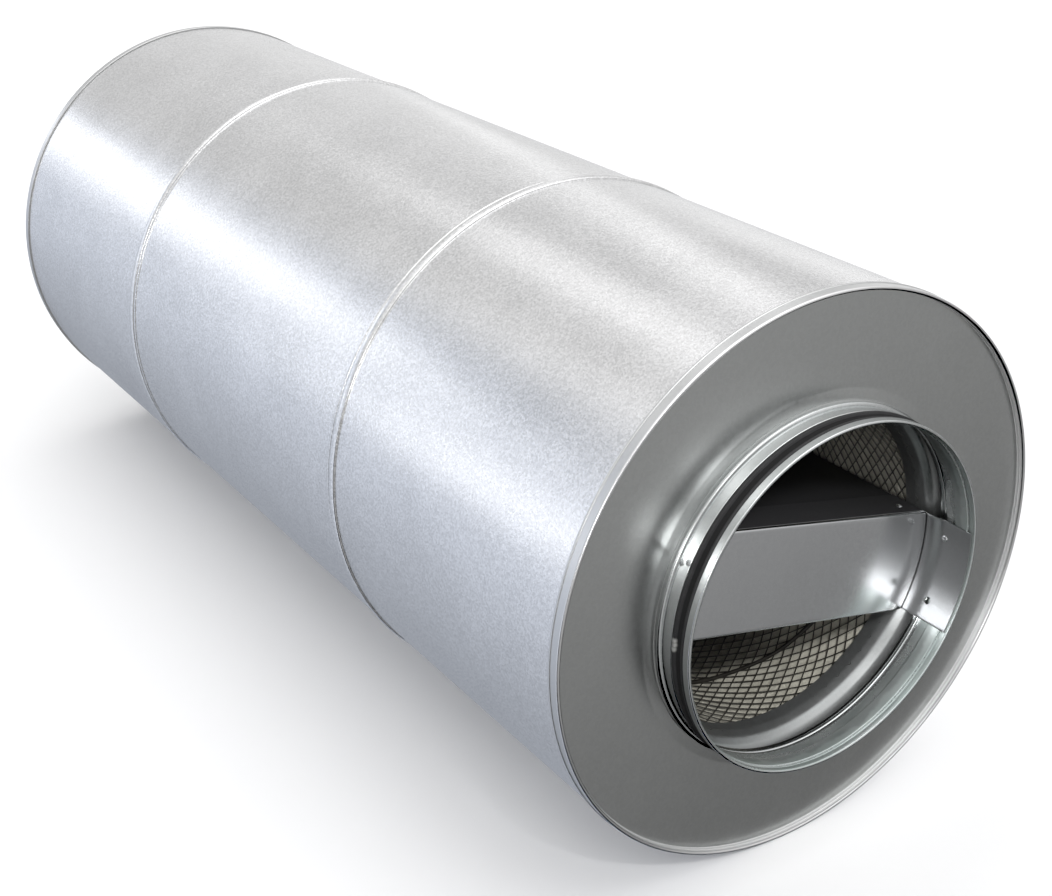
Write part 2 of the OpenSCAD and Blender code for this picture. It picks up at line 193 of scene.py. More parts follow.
class BaffleSizes(bpy.types.PropertyGroup):
    """Sizes of the baffle's covers, brackets and rivets"""

    roll: turn_angle("Roll", "Turn of the baffle about the duct axis", 12)
    half: length("Half thickness", "Half the thickness of the baffle over its covers", 0.0475)
    nose_place: length("Nose place", "Distance of a nose's face from the middle", 0.583)
    fold: length("Nose fold", "Length of the nose's folded edges", 0.04)
    nose_radius: length("Nose radius", "Radius that the nose's ends are cut to", 0.1488)
    bend: length("Bend", "Outside radius of the folds", 0.0018)
    sheet: length("Sheet", "Thickness of the baffle sheet", 0.001)
    tab_radius: length("Tab radius", "Outside radius of a bracket's tab in the spigot", 0.1535)
    back_radius: length("Back radius", "Outside radius of a bracket behind the cap", 0.1508)
    tab_front: length("Tab front", "Reach of a bracket in front of the cap", 0.0385)
    tab_bend: length("Tab bend", "Place of the tab's bend in front of the cap", 0.006)
    tab_slope: length("Tab slope", "Length of the slope between a bracket's two radii", 0.0085)
    tab_back: length("Tab back", "Reach of a bracket behind the cap", 0.062)
    tab_half: turn_angle("Tab half angle", "Half the angle that a bracket spans", 17.83)
    fixing: turn_angle("Fixing angle", "Angle of a fixing from the middle of its bracket", 11.27)
    fixing_place: length("Fixing place", "Place of the fixings in front of the cap", 0.01)
    hole: length("Open hole", "Radius of the open fixing hole", 0.00325)
    head: length("Rivet head", "Radius of a rivet head", 0.00325)
    head_height: length("Rivet head height", "Height of a rivet head", 0.0014)
    rivet_side: length("Nose rivet side", "Sideways place of the nose rivets", 0.1232)
    rivet_back: length("Nose rivet depth", "Place of the nose rivets behind the nose's face", 0.016)


class Finishes(bpy.types.PropertyGroup):
    """Colours of the finishes"""

    casing: colour("Casing zinc", "Zinc of the casing", (0.81, 0.81, 0.815))
    cap: colour("Cap zinc", "Zinc of the end caps", (0.53, 0.54, 0.535))
    spigot: colour("Spigot zinc", "Zinc of the spigots and rings", (0.68, 0.70, 0.70))
    stain: colour("Spigot stain", "Greenish stain inside the spigots", (0.28, 0.318, 0.308))
    baffle: colour("Baffle zinc", "Zinc of the noses and brackets", (0.62, 0.63, 0.64))
    rivet: colour("Rivet metal", "Metal of the rivets", (0.74, 0.75, 0.76))
    rubber: colour("Rubber", "Rubber of the gaskets", (0.016, 0.016, 0.017))
    rubber_dust: colour("Rubber dust", "Dust on the rubber", (0.085, 0.085, 0.088))
    wool: colour("Wool", "Light fibres of the wool", (0.44, 0.425, 0.365))
    # The darker wool colour also serves as painted shade in the wool's hollows.
    wool_shade: colour("Wool shade", "Darker fibres of the wool", (0.29, 0.28, 0.235))
    wire: colour("Wire", "Dark wire of the mesh", (0.016, 0.0145, 0.012))
    facing: colour("Facing", "Black facing of the baffle", (0.012, 0.012, 0.0128))
    floor: colour("Floor", "Pale floor", (0.93, 0.93, 0.935))


class StageSizes(bpy.types.PropertyGroup):
    """Camera and light of the stage"""

    eye: position("Eye", "Place of the camera", (1.45297, -0.85402, 0.69086))
    lamp: position("Mouth lamp", "Place of the lamp that reaches into the mouth", (1.55, -0.45, 1.05))
    lamp_aim: position("Mouth lamp aim", "Point that the mouth lamp looks at", (0.57, 0.0, -0.03))
    azimuth: turn_angle("Azimuth", "Turn of the camera about the upright axis", 56.223)
    pitch: turn_angle("Pitch", "Tilt of the camera from straight down", 64.448)
    lens: level("Lens", "Focal length in mm for a 36 mm wide sensor", 56.68)
    mouth_power: level("Mouth power", "Power of the lamp that reaches into the mouth", 84.0)
    floor_reach: length("Floor reach", "Half the width of the floor", 9.0)


def sizes(group):
    """Settings of this group in the scene"""
    return getattr(bpy.context.scene, group)


# Modelling


def deselect():
    bpy.ops.object.select_all(action="DESELECT")


def pick(piece):
    deselect()
    piece.select_set(True)
    bpy.context.view_layer.objects.active = piece


def edit(piece):
    pick(piece)
    bpy.ops.object.mode_set(mode="EDIT")
    bpy.ops.mesh.select_all(action="SELECT")


def leave():
    bpy.ops.object.mode_set(mode="OBJECT")


def rounded(corners):
    """Outline whose corners (along, out, radius) are turned into arcs"""
    points = []
    total = len(corners)
    for i, (along, out, radius) in enumerate(corners):
        here = Vector((along, out))
        to_last = Vector(corners[i - 1][:2]) - here
        to_next = Vector(corners[(i + 1) % total][:2]) - here
        half = to_last.angle(to_next) / 2 if radius else 0
        if not radius or half > math.radians(89.5):
            points.append((along, out))
            continue
        cut = min(radius / math.tan(half), 0.49 * to_last.length, 0.49 * to_next.length)
        bend = cut * math.tan(half)
        middle = here + (to_last.normalized() + to_next.normalized()).normalized() * bend / math.sin(half)
        start = here + to_last.normalized() * cut - middle
        sweep = math.pi - 2 * half
        side = 1 if start.cross(here + to_next.normalized() * cut - middle) > 0 else -1
        for k in range(CORNER_STEPS + 1):
            a = side * sweep * k / CORNER_STEPS
            points.append(
                (
                    middle.x + start.x * math.cos(a) - start.y * math.sin(a),
                    middle.y + start.x * math.sin(a) + start.y * math.cos(a),
                )
            )
    return points


def held(outline, step=None):
    """Outline with extra points close to the ends of its long walls, which keep them straight when smoothed"""
    points = []
    for here, there in zip(outline, outline[1:] + outline[:1]):
        points.append(here)
        start, way = Vector(here), Vector(there) - Vector(here)
        reach = way.length
        if reach < 8 * HOLD:
            continue
        inner = max(1, round((reach - 2 * HOLD) / step)) if step else 1
        for k in range(inner + 1):
            at = HOLD + (reach - 2 * HOLD) * k / inner
            points.append(tuple(start + way * at / reach))
    return points


def mirrored(outline, end):
    """Outline of the front end carried to the rear end where end is -1"""
    return [(end * along, out) for along, out in outline]


def drawn(name, places, closed=True):
    """Wire outline, drawn by extruding one vertex from place to place, left in edit mode"""
    deselect()
    bpy.ops.mesh.primitive_plane_add(size=0.01)
    piece = bpy.context.object
    piece.name = name
    piece.data.name = name
    bpy.ops.object.mode_set(mode="EDIT")
    bpy.ops.mesh.select_mode(type="VERT")
    bpy.ops.mesh.select_all(action="SELECT")
    bpy.ops.mesh.merge(type="CENTER")
    bpy.ops.transform.translate(value=places[0])
    ahead = places[1:] + places[:1] if closed else places[1:]
    for here, there in zip(places, ahead):
        move = Vector(there) - Vector(here)
        bpy.ops.mesh.extrude_region_move(TRANSFORM_OT_translate={"value": move})
    bpy.ops.mesh.select_all(action="SELECT")
    bpy.ops.mesh.remove_doubles(threshold=MERGE)
    return piece


def turned(name, outline, steps=FINE_STEPS, start=0.0, sweep=FULL_TURN):
    """Solid that an outline (along, out) sweeps when it is spun back from its start about the duct axis"""
    places = [(along, out * math.cos(start), out * math.sin(start)) for along, out in outline]
    piece = drawn(name, places)
    bpy.ops.mesh.spin(steps=steps, angle=sweep, center=(0, 0, 0), axis=(1, 0, 0))
    bpy.ops.mesh.select_all(action="SELECT")
    bpy.ops.mesh.remove_doubles(threshold=MERGE)
    if sweep < FULL_TURN:
        bpy.ops.mesh.fill_holes(sides=0)
    bpy.ops.mesh.normals_make_consistent(inside=False)
    leave()
    return piece


def apply(piece, kind, **values):
    """Adds a modifier with these values and applies it"""
    pick(piece)
    modifier = piece.modifiers.new(kind.lower(), kind)
    for key, value in values.items():
        setattr(modifier, key, value)
    bpy.ops.object.modifier_apply(modifier=modifier.name)


def cut(piece, tool, how):
    """Boolean of the piece with a tool that is then deleted"""
    apply(piece, "BOOLEAN", object=tool, operation=how, solver="EXACT")
    bpy.data.objects.remove(tool)


def placed(piece, matrix):
    """Puts the matrix into the piece's mesh"""
    pick(piece)
    piece.matrix_world = matrix
    bpy.ops.object.transform_apply(location=True, rotation=True, scale=True)


def joined(name, parts):
    deselect()
    for part in parts:
        part.select_set(True)
    bpy.context.view_layer.objects.active = parts[0]
    bpy.ops.object.join()
    parts[0].name = name
    parts[0].data.name = name
    return parts[0]


def settle(piece, material, slot, *nodes, smooth=32):
    """Smooths a finished piece, gives it its finish and hides the imported nodes that it replaces"""
    pick(piece)
    bpy.ops.object.shade_smooth_by_angle(angle=math.radians(smooth))
    piece.data.materials.clear()
    piece.data.materials.append(material)
    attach(piece, "root")
    if nodes:
        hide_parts(*nodes)
    deselect()


# Finishes


class Weave:
    """Shorthand for building a node tree"""

    def __init__(self, tree):
        self.tree = tree

    def node(self, kind, values=None, **settings):
        made = self.tree.nodes.new(kind)
        for key, value in settings.items():
            setattr(made, key, value)
        for key, value in (values or {}).items():
            self.feed(made.inputs[key], value)
        return made

    def feed(self, socket, value):
        if isinstance(value, bpy.types.NodeSocket):
            self.tree.links.new(value, socket)
        else:
            socket.default_value = value

    def math(self, how, *values):
        made = self.tree.nodes.new("ShaderNodeMath")
        made.operation = how
        for socket, value in zip(made.inputs, values):
            self.feed(socket, value)
        return made.outputs[0]

    def ranged(self, value, low, high, to_low, to_high, way="SMOOTHSTEP"):
        made = self.node("ShaderNodeMapRange", interpolation_type=way)
        for socket, number in zip(made.inputs, (value, low, high, to_low, to_high)):
            self.feed(socket, number)
        return made.outputs[0]

    def noise(self, place, scale, detail=3.0, rough=0.55, warp=0.0):
        made = self.node(
            "ShaderNodeTexNoise",
            {"Vector": place, "Scale": scale, "Detail": detail, "Roughness": rough, "Distortion": warp},
        )
        return made.outputs["Fac"]

    def times(self, *values):
        return self.math("MULTIPLY", *values)

    def plus(self, *values):
        return self.math("ADD", *values)

    def minus(self, *values):
        return self.math("SUBTRACT", *values)

    def parts(self, vector):
        return self.node("ShaderNodeSeparateXYZ", {"Vector": vector}).outputs

    def mixed(self, share, one, two):
        made = self.node("ShaderNodeMix", data_type="RGBA")
        for name, value in (("Factor_Float", share), ("A_Color", one), ("B_Color", two)):
            socket = next(s for s in made.inputs if s.identifier == name)
            if not isinstance(value, bpy.types.NodeSocket) and name != "Factor_Float":
                value = (*value, 1.0)
            self.feed(socket, value)
        return next(s for s in made.outputs if s.identifier == "Result_Color")

    def stretched(self, place, scale):
        made = self.node("ShaderNodeMapping", {"Vector": place})
        made.inputs["Scale"].default_value = scale
        return made.outputs[0]


def group(name, inputs, outputs):
    """Empty shader node group with float inputs and outputs"""
    tree = bpy.data.node_groups.new(name, "ShaderNodeTree")
    for label, value in inputs:
        tree.interface.new_socket(label, in_out="INPUT", socket_type="NodeSocketFloat").default_value = value
    for label in outputs:
        tree.interface.new_socket(label, in_out="OUTPUT", socket_type="NodeSocketFloat")
    weave = Weave(tree)
    return tree, weave, weave.node("NodeGroupInput").outputs, weave.node("NodeGroupOutput").inputs


def zinc_grain_group():
    """Fine mottle of zinc: tone, roughness and height over the surface"""
    if "Zinc grain" in bpy.data.node_groups:
        return bpy.data.node_groups["Zinc grain"]
    tree, weave, given, out = group(
        "Zinc grain", (("Grain", 700.0), ("Cloud", 14.0)), ("Tone", "Sheen", "Height", "Wave")
    )
    place = weave.node("ShaderNodeTexCoord").outputs["Object"]
    fine = weave.noise(place, given["Grain"], 2.0, 0.6)
    flakes = weave.node(
        "ShaderNodeTexVoronoi", {"Vector": place, "Scale": weave.times(given["Grain"], 0.42)}
    )
    flake = weave.node("ShaderNodeSeparateColor", {"Color": flakes.outputs["Color"]}).outputs[0]
    cloud = weave.noise(place, given["Cloud"], 4.0, 0.55, 0.4)
    speck = weave.plus(weave.times(fine, 0.65), weave.times(flake, 0.35))
    weave.feed(out["Tone"], weave.plus(weave.times(speck, 0.75), weave.times(cloud, 0.25)))
    weave.feed(out["Sheen"], weave.plus(weave.times(flake, 0.4), weave.times(cloud, 0.6)))
    weave.feed(out["Height"], speck)
    weave.feed(out["Wave"], weave.noise(weave.stretched(place, (0.15, 1.0, 1.0)), 16.0, 1.5, 0.4))
    return tree


def scratch_group():
    """Thin broken lines along and round the sheet"""
    if "Scratches" in bpy.data.node_groups:
        return bpy.data.node_groups["Scratches"]
    tree, weave, given, out = group("Scratches", (("Density", 0.5), ("Size", 1.0)), ("Mask",))
    place = weave.node("ShaderNodeTexCoord").outputs["Object"]
    masks = []
    for stretch, turn in (((420.0, 9.0, 9.0), 0.15), ((9.0, 380.0, 380.0), -0.3), ((300.0, 20.0, 60.0), 0.8)):
        turned_place = weave.node("ShaderNodeMapping", {"Vector": place})
        turned_place.inputs["Rotation"].default_value = (0.0, turn, turn / 2)
        turned_place.inputs["Scale"].default_value = stretch
        lines = weave.noise(turned_place.outputs[0], given["Size"], 1.0, 0.4)
        masks.append(weave.ranged(lines, 0.70, 0.74, 0.0, 1.0))
    broken = weave.ranged(weave.noise(place, 22.0, 2.0), 0.52, 0.66, 0.0, 1.0)
    every = weave.math("MAXIMUM", weave.math("MAXIMUM", masks[0], masks[1]), masks[2])
    weave.feed(out["Mask"], weave.times(weave.times(every, broken), given["Density"]))
    return tree


def blotch_group():
    """Soft uneven blotches, as stain and dust lie"""
    if "Blotches" in bpy.data.node_groups:
        return bpy.data.node_groups["Blotches"]
    tree, weave, given, out = group("Blotches", (("Scale", 40.0), ("Spread", 0.5)), ("Mask",))
    place = weave.node("ShaderNodeTexCoord").outputs["Object"]
    wide = weave.noise(weave.stretched(place, (1.0, 0.7, 0.7)), given["Scale"], 4.0, 0.6, 0.6)
    low = weave.minus(0.72, weave.times(given["Spread"], 0.4))
    weave.feed(out["Mask"], weave.ranged(wide, low, weave.plus(low, 0.18), 0.0, 1.0))
    return tree


def surface(name):
    """New material with its node tree, Principled shader and Object coordinates"""
    material = bpy.data.materials.new(name)
    material.use_nodes = True
    weave = Weave(material.node_tree)
    shader = material.node_tree.nodes["Principled BSDF"]
    place = weave.node("ShaderNodeTexCoord").outputs["Object"]
    return material, weave, shader, place


def use(weave, tree, **values):
    """Outputs of a node group with these input values"""
    made = weave.node("ShaderNodeGroup", node_tree=tree)
    for key, value in values.items():
        made.inputs[key].default_value = value
    return made.outputs


def bumped(weave, height, strength, distance, below=None):
    made = weave.node("ShaderNodeBump", {"Height": height, "Strength": strength, "Distance": distance})
    if below is not None:
        weave.feed(made.inputs["Normal"], below)
    return made.outputs["Normal"]


def shade(tone, share):
    return tuple(channel * share for channel in tone)


def zinc(name, tone, grain, cloud, mottle, rough, wave, scratch, bump=0.10, metal=1.0):
    """Zinc-coated sheet: mottled tone, uneven sheen, faint waves and fine scratches"""
    material, weave, shader, place = surface(name)
    zinc_out = use(weave, zinc_grain_group(), Grain=grain, Cloud=cloud)
    lines = use(weave, scratch_group(), Density=scratch, Size=1.0)["Mask"]
    base = weave.mixed(
        weave.ranged(zinc_out["Tone"], 0.3, 0.7, 0.0, 1.0, "LINEAR"), shade(tone, 1 - mottle), shade(tone, 1 + mottle)
    )
    base = weave.mixed(weave.times(lines, 0.5), base, shade(tone, 1.2))
    sheen = weave.ranged(zinc_out["Sheen"], 0.25, 0.75, rough[0], rough[1], "LINEAR")
    shader.inputs["Metallic"].default_value = metal
    waves = bumped(weave, zinc_out["Wave"], wave, 0.004)
    normal = bumped(weave, zinc_out["Height"], bump, 0.0006, waves)
    weave.feed(shader.inputs["Normal"], normal)
    weave.feed(shader.inputs["Base Color"], base)
    weave.feed(shader.inputs["Roughness"], sheen)
    return material, weave, shader, place, base, sheen


def scuffs(weave, place):
    """The few marks that the casing's upper left side carries"""
    x, y, z = weave.parts(place)
    angle = weave.math("DEGREES", weave.math("ARCTAN2", z, y))
    every = 0.0
    for along, middle, reach, lean, width in SCUFFS:
        off = weave.minus(angle, middle)
        line = weave.minus(x, weave.plus(weave.times(off, lean), along))
        mark = weave.ranged(weave.math("ABSOLUTE", line), 0.6 * width, 1.4 * width, 1.0, 0.0)
        end = weave.ranged(weave.math("ABSOLUTE", off), 0.6 * reach, reach, 1.0, 0.0)
        every = weave.math("MAXIMUM", every, weave.times(mark, end))
    return weave.times(every, weave.ranged(weave.noise(place, 400.0, 2.0), 0.4, 0.6, 0.0, 0.8))


def casing_finish():
    """Bright zinc with a few scuffs"""
    tone = sizes("attenuator_finish").casing
    material, weave, shader, place, base, _ = zinc(
        "casing_zinc", tone, 1500.0, 11.0, 0.18, (0.16, 0.21), 0.22, 0.55, 0.22
    )
    weave.feed(shader.inputs["Base Color"], weave.mixed(scuffs(weave, place), base, shade(tone, 1.2)))
    return material


def cap_finish():
    """Grey zinc whose folded rim is painted brighter, fully on its crown, as a painted highlight"""
    finish = sizes("attenuator_finish")
    casing = sizes("attenuator_casing")
    duct = sizes("attenuator_duct")
    material, weave, shader, place, base, _ = zinc(
        "cap_zinc", finish.cap, 900.0, 16.0, 0.05, (0.28, 0.35), 0.05, 0.25, 0.05
    )
    out = from_axis(weave, place)
    along = weave.math("ABSOLUTE", weave.parts(place)[0])
    rim_in = casing.radius + 1.1 * casing.sheet - casing.rim_width
    rim = weave.ranged(out, rim_in - 0.9 * casing.sheet, rim_in - 0.6 * casing.sheet, 0.0, 1.0)
    top = duct.cap_place + casing.rim_height - casing.rim_crown
    edge = weave.ranged(along, top, top + 0.8 * casing.sheet, 0.5, 1.0)
    # Painted highlight: the rim is painted half way to the brighter casing zinc, and fully on its crown.
    base = weave.mixed(weave.times(rim, edge), base, finish.casing)
    inner = weave.times(rim, weave.ranged(out, rim_in + 0.3 * casing.sheet, rim_in + casing.sheet, 1.0, 0.0))
    inner = weave.times(inner, weave.ranged(along, top, top + 0.4 * casing.sheet, 1.0, 0.0))
    weave.feed(shader.inputs["Metallic"], weave.ranged(inner, 0.0, 1.0, 1.0, 0.3))
    weave.feed(shader.inputs["Base Color"], base)
    return material


def from_axis(weave, place):
    """Distance of the surface from the duct axis"""
    apart = weave.parts(place)
    across = weave.math("POWER", apart[1], 2.0)
    return weave.math("SQRT", weave.plus(across, weave.math("POWER", apart[2], 2.0)))


def near_spots(weave, place, spots):
    """Share that falls off round each of these spots on the front spigot"""
    duct = sizes("attenuator_duct")
    every = 0.0
    for along, angle, reach in spots:
        turn = math.radians(angle)
        spot = (duct.cap_place + along, duct.radius * math.cos(turn), duct.radius * math.sin(turn))
        apart = weave.node("ShaderNodeVectorMath", {0: place, 1: spot}, operation="DISTANCE").outputs["Value"]
        every = weave.math("MAXIMUM", every, weave.ranged(apart, 0.25 * reach, reach, 1.0, 0.0))
    return every


def spigot_finish():
    """Smooth zinc whose inside is stained in blotches"""
    finish = sizes("attenuator_finish")
    duct = sizes("attenuator_duct")
    material, weave, shader, place, base, sheen = zinc(
        "spigot_zinc", finish.spigot, 900.0, 20.0, 0.04, (0.19, 0.215), 0.06, 0.0, 0.01
    )
    apart = weave.parts(place)
    along = weave.math("ABSOLUTE", apart[0])
    facing = weave.node("ShaderNodeTexCoord").outputs["Normal"]
    toward = weave.parts(facing)
    outward = weave.plus(weave.times(toward[1], apart[1]), weave.times(toward[2], apart[2]))
    inside = weave.ranged(outward, -0.6 * duct.radius, -0.2 * duct.radius, 1.0, 0.0)
    ahead = weave.ranged(along, duct.cap_place + 0.006, duct.cap_place + 0.012, 0.0, 1.0)
    streaks = weave.noise(weave.stretched(place, (60.0, 14.0, 14.0)), 1.0, 1.5, 0.5, 0.3)
    stain = weave.times(weave.times(inside, ahead), weave.ranged(streaks, 0.3, 0.7, 0.45, 0.95))
    wander = weave.times(weave.noise(weave.stretched(place, (20.0, 45.0, 45.0)), 1.0, 3.0, 0.6), 0.016)
    # The stain turns paler over the last few millimetres towards the lip.
    paler_to_lip = weave.ranged(
        weave.plus(along, wander), duct.cap_place + 0.033, duct.cap_place + 0.037, 0.0, 0.75
    )
    stained = weave.mixed(paler_to_lip, finish.stain, shade(finish.stain, 1.9))
    weave.feed(shader.inputs["Base Color"], weave.mixed(stain, base, stained))
    smooth = shader.inputs["Normal"].links[0].from_socket
    rough_spot = weave.times(near_spots(weave, place, WELDS), weave.noise(place, 900.0, 2.0))
    weave.feed(shader.inputs["Normal"], bumped(weave, rough_spot, 0.8, 0.0012, smooth))
    weave.feed(shader.inputs["Roughness"], weave.plus(sheen, weave.times(stain, 0.14)))
    weave.feed(shader.inputs["Metallic"], weave.ranged(weave.times(inside, ahead), 0.0, 1.0, 1.0, 0.74))
    return material


def ring_finish():
    """Dull zinc of the flared rings: the spigot zinc at about half its brightness, a painted shade inside the duct"""
    tone = shade(sizes("attenuator_finish").spigot, 0.52)
    return zinc("ring_zinc_painted_shade", tone, 900.0, 20.0, 0.06, (0.30, 0.37), 0.04, 0.2, 0.03, 0.9)[0]


def nose_finish():
    """Smooth zinc on the face; the folded edges are painted black like the facing"""
    finish = sizes("attenuator_finish")
    baffle = sizes("attenuator_baffle")
    material, weave, shader, place, base, sheen = zinc(
        "nose_zinc", finish.baffle, 1000.0, 18.0, 0.03, (0.17, 0.21), 0.03, 0.1, 0.015
    )
    x, y, z = weave.parts(place)
    tilt = weave.times(y, math.sin(baffle.roll))
    height = weave.math("ABSOLUTE", weave.plus(tilt, weave.times(z, math.cos(baffle.roll))))
    edge = weave.ranged(height, baffle.half - 0.0007, baffle.half - 0.0003, 0.0, 1.0)
    back = weave.ranged(weave.math("ABSOLUTE", x), baffle.nose_place - 0.004, baffle.nose_place - 0.0025, 1.0, 0.0)
    # The folded edges behind the face are painted black like the facing and are not metallic.
    dark_edges = weave.times(edge, back)
    weave.feed(shader.inputs["Base Color"], weave.mixed(dark_edges, base, shade(finish.facing, 1.6)))
    weave.feed(shader.inputs["Roughness"], weave.plus(sheen, weave.times(dark_edges, 0.5)))
    weave.feed(shader.inputs["Metallic"], weave.minus(1.0, dark_edges))
    return material


def baffle_finish():
    """Smooth, dull zinc of the brackets: the nose zinc darkened to 0.8, a painted shade"""
    tone = shade(sizes("attenuator_finish").baffle, 0.8)
    return zinc("bracket_zinc_painted_shade", tone, 1000.0, 18.0, 0.03, (0.30, 0.35), 0.03, 0.1, 0.015)[0]


def rivet_finish():
    """Pale metal of the rivets"""
    tone = sizes("attenuator_finish").rivet
    return zinc("rivet_metal", tone, 1500.0, 60.0, 0.08, (0.22, 0.34), 0.0, 0.0)[0]


def rubber_finish():
    """Matt black rubber with pale dust in blotches on its lips, painted darker in the valley below them as a painted
    shade
    """
    finish = sizes("attenuator_finish")
    duct = sizes("attenuator_duct")
    material, weave, shader, place = surface("gasket_rubber")
    dust = use(weave, blotch_group(), Scale=90.0, Spread=0.6)["Mask"]
    fine = weave.noise(place, 1400.0, 2.0)
    share = weave.times(dust, weave.ranged(fine, 0.35, 0.7, 0.1, 0.45))
    out = from_axis(weave, place)
    crown = weave.ranged(out, duct.radius - 1.8 * duct.sheet, duct.radius - 0.8 * duct.sheet, 0.0, 1.0)
    # Painted shade: below the lips' tops the rubber is painted much darker, and the dust lies only on the lips.
    base = weave.mixed(weave.times(share, crown), shade(finish.rubber, 0.3), finish.rubber_dust)
    base = weave.mixed(weave.times(crown, 0.8), base, finish.rubber)
    splice = weave.times(near_spots(weave, place, SPLICE), 0.5)
    weave.feed(shader.inputs["Base Color"], weave.mixed(splice, base, (0.5, 0.5, 0.48)))
    weave.feed(shader.inputs["Roughness"], weave.ranged(weave.times(crown, fine), 0.0, 0.6, 0.9, 0.45, "LINEAR"))
    weave.feed(shader.inputs["Normal"], bumped(weave, fine, 0.12, 0.0004))
    return material


def wool_finish():
    """Matted mineral fibres: tufts and strands over random darker fibres, painted darker in the bump's hollows as a
    painted shade
    """
    finish = sizes("attenuator_finish")
    material, weave, shader, place = surface("mineral_wool")
    tufts = weave.noise(place, 55.0, 4.0, 0.6, 0.8)
    strands = weave.noise(weave.stretched(place, (1.0, 0.35, 0.35)), 900.0, 3.0, 0.7, 2.2)
    cross = weave.noise(weave.stretched(place, (0.3, 1.0, 1.0)), 760.0, 3.0, 0.7, 2.0)
    fibres = weave.times(weave.plus(strands, cross), 0.5)
    share = weave.plus(weave.times(tufts, 0.5), weave.times(fibres, 0.5))
    # The darker wool colour falls where the tufts and fibres dip in the bump: random darker fibres, and painted shade
    # in the hollows.
    weave.feed(
        shader.inputs["Base Color"],
        weave.mixed(weave.ranged(share, 0.36, 0.62, 0.0, 1.0, "LINEAR"), finish.wool_shade, finish.wool),
    )
    weave.feed(shader.inputs["Roughness"], weave.ranged(fibres, 0.3, 0.7, 0.85, 1.0, "LINEAR"))
    soft = bumped(weave, tufts, 0.5, 0.006)
    weave.feed(shader.inputs["Normal"], bumped(weave, fibres, 0.6, 0.0015, soft))
    return material


def wire_finish():
    """Dark wire with a dull brown cast"""
    finish = sizes("attenuator_finish")
    material, weave, shader, place = surface("mesh_wire")
    rust = weave.noise(place, 120.0, 3.0)
    weave.feed(
        shader.inputs["Base Color"],
        weave.mixed(weave.ranged(rust, 0.35, 0.7, 0.0, 1.0), finish.wire, shade(finish.wire, 1.9)),
    )
    shader.inputs["Metallic"].default_value = 0.35
    weave.feed(shader.inputs["Roughness"], weave.ranged(rust, 0.3, 0.7, 0.45, 0.7, "LINEAR"))
    return material


def facing_finish():
    """Black glass-fibre tissue with a faint weave"""
    finish = sizes("attenuator_finish")
    material, weave, shader, place = surface("baffle_tissue")
    fibre = weave.noise(weave.stretched(place, (1.0, 3.0, 3.0)), 500.0, 3.0, 0.65, 1.2)
    dust = use(weave, blotch_group(), Scale=26.0, Spread=0.5)["Mask"]
    share = weave.times(weave.ranged(fibre, 0.4, 0.7, 0.0, 1.0), weave.ranged(dust, 0.0, 1.0, 0.35, 0.8))
    weave.feed(shader.inputs["Base Color"], weave.mixed(share, finish.facing, shade(finish.facing, 2.6)))
    weave.feed(shader.inputs["Roughness"], weave.ranged(fibre, 0.3, 0.7, 0.75, 0.95, "LINEAR"))
    weave.feed(shader.inputs["Normal"], bumped(weave, fibre, 0.3, 0.0005))
    return material


FINISHES = {
    "casing": casing_finish,
    "cap": cap_finish,
    "spigot": spigot_finish,
    "ring": ring_finish,
    "nose": nose_finish,
    "baffle": baffle_finish,
    "rivet": rivet_finish,
    "rubber": rubber_finish,
    "wool": wool_finish,
    "wire": wire_finish,
    "facing": facing_finish,
}
made_finishes = {}


def finish(name):
    """Material of this finish, made once"""
    if name not in made_finishes:
        made_finishes[name] = FINISHES[name]()
    return made_finishes[name]


def turned_pair(name, outline, look, slot, node):
    """Front and rear piece of one outline, with {} standing for the end in their names"""
    for end, way in ENDS:
        settle(turned(name.format(end), mirrored(outline, way)), finish(look), slot, node.format(end))


# Outlines of the turned pieces


def arch(start, width, base, height, steps=14):
    """Bead of this width and height on a wall of radius base"""
    return [
        (start + width * (1 - math.cos(math.pi * k / steps)) / 2, base + height * math.sin(math.pi * k / steps))
        for k in range(steps + 1)
    ]


def end_section_outline():
    """Wall of an end section and the fold of its ring seam"""
    casing = sizes("attenuator_casing")
    duct = sizes("attenuator_duct")
    outside, sheet = casing.radius, casing.sheet
    inside = outside - sheet
    fold, width = casing.seam_start, casing.seam_width
    lap = fold + width
    crown = outside + casing.seam_height
    shoulder = outside + 0.25 * casing.seam_height
    end = duct.cap_place + casing.rim_height - casing.rim_crown - 1.5 * sheet
    under = arch(fold + sheet, width - 2 * sheet, shoulder, crown - sheet - shoulder, 16)
    wall = rounded(
        [
            (lap - sheet, shoulder, 0),
            (lap - sheet, inside, 0.5 * sheet),
            (end, inside, 0.2 * sheet),
            (end, outside, 0.2 * sheet),
            (lap, outside, 0.3 * sheet),
            (lap, shoulder, 0),
        ]
    )
    top = arch(fold, width, shoulder, crown - shoulder, 16)[::-1]
    foot = [(fold, outside + 0.1 * sheet), (fold + sheet, outside + 0.1 * sheet)]
    return foot + under + wall[1:-1] + top


def middle_section_outline():
    """Wall of the middle section with its side beads and turned-up edges"""
    casing = sizes("attenuator_casing")
    outside, sheet = casing.radius, casing.sheet
    crown = outside + casing.seam_height
    bead = arch(casing.side_bead_start, casing.side_bead_width, outside, casing.side_bead_height)
    edge = casing.seam_start + 0.7 * casing.seam_width
    last = casing.seam_start + casing.seam_width - 1.1 * sheet
    half = bead + [
        (edge, outside),
        (edge, crown - 1.2 * sheet),
        (edge + sheet, crown - 1.2 * sheet),
        (edge + sheet, outside),
        (last, outside),
        (last, outside - sheet),
    ]
    return half + [(-along, out) for along, out in reversed(half)]


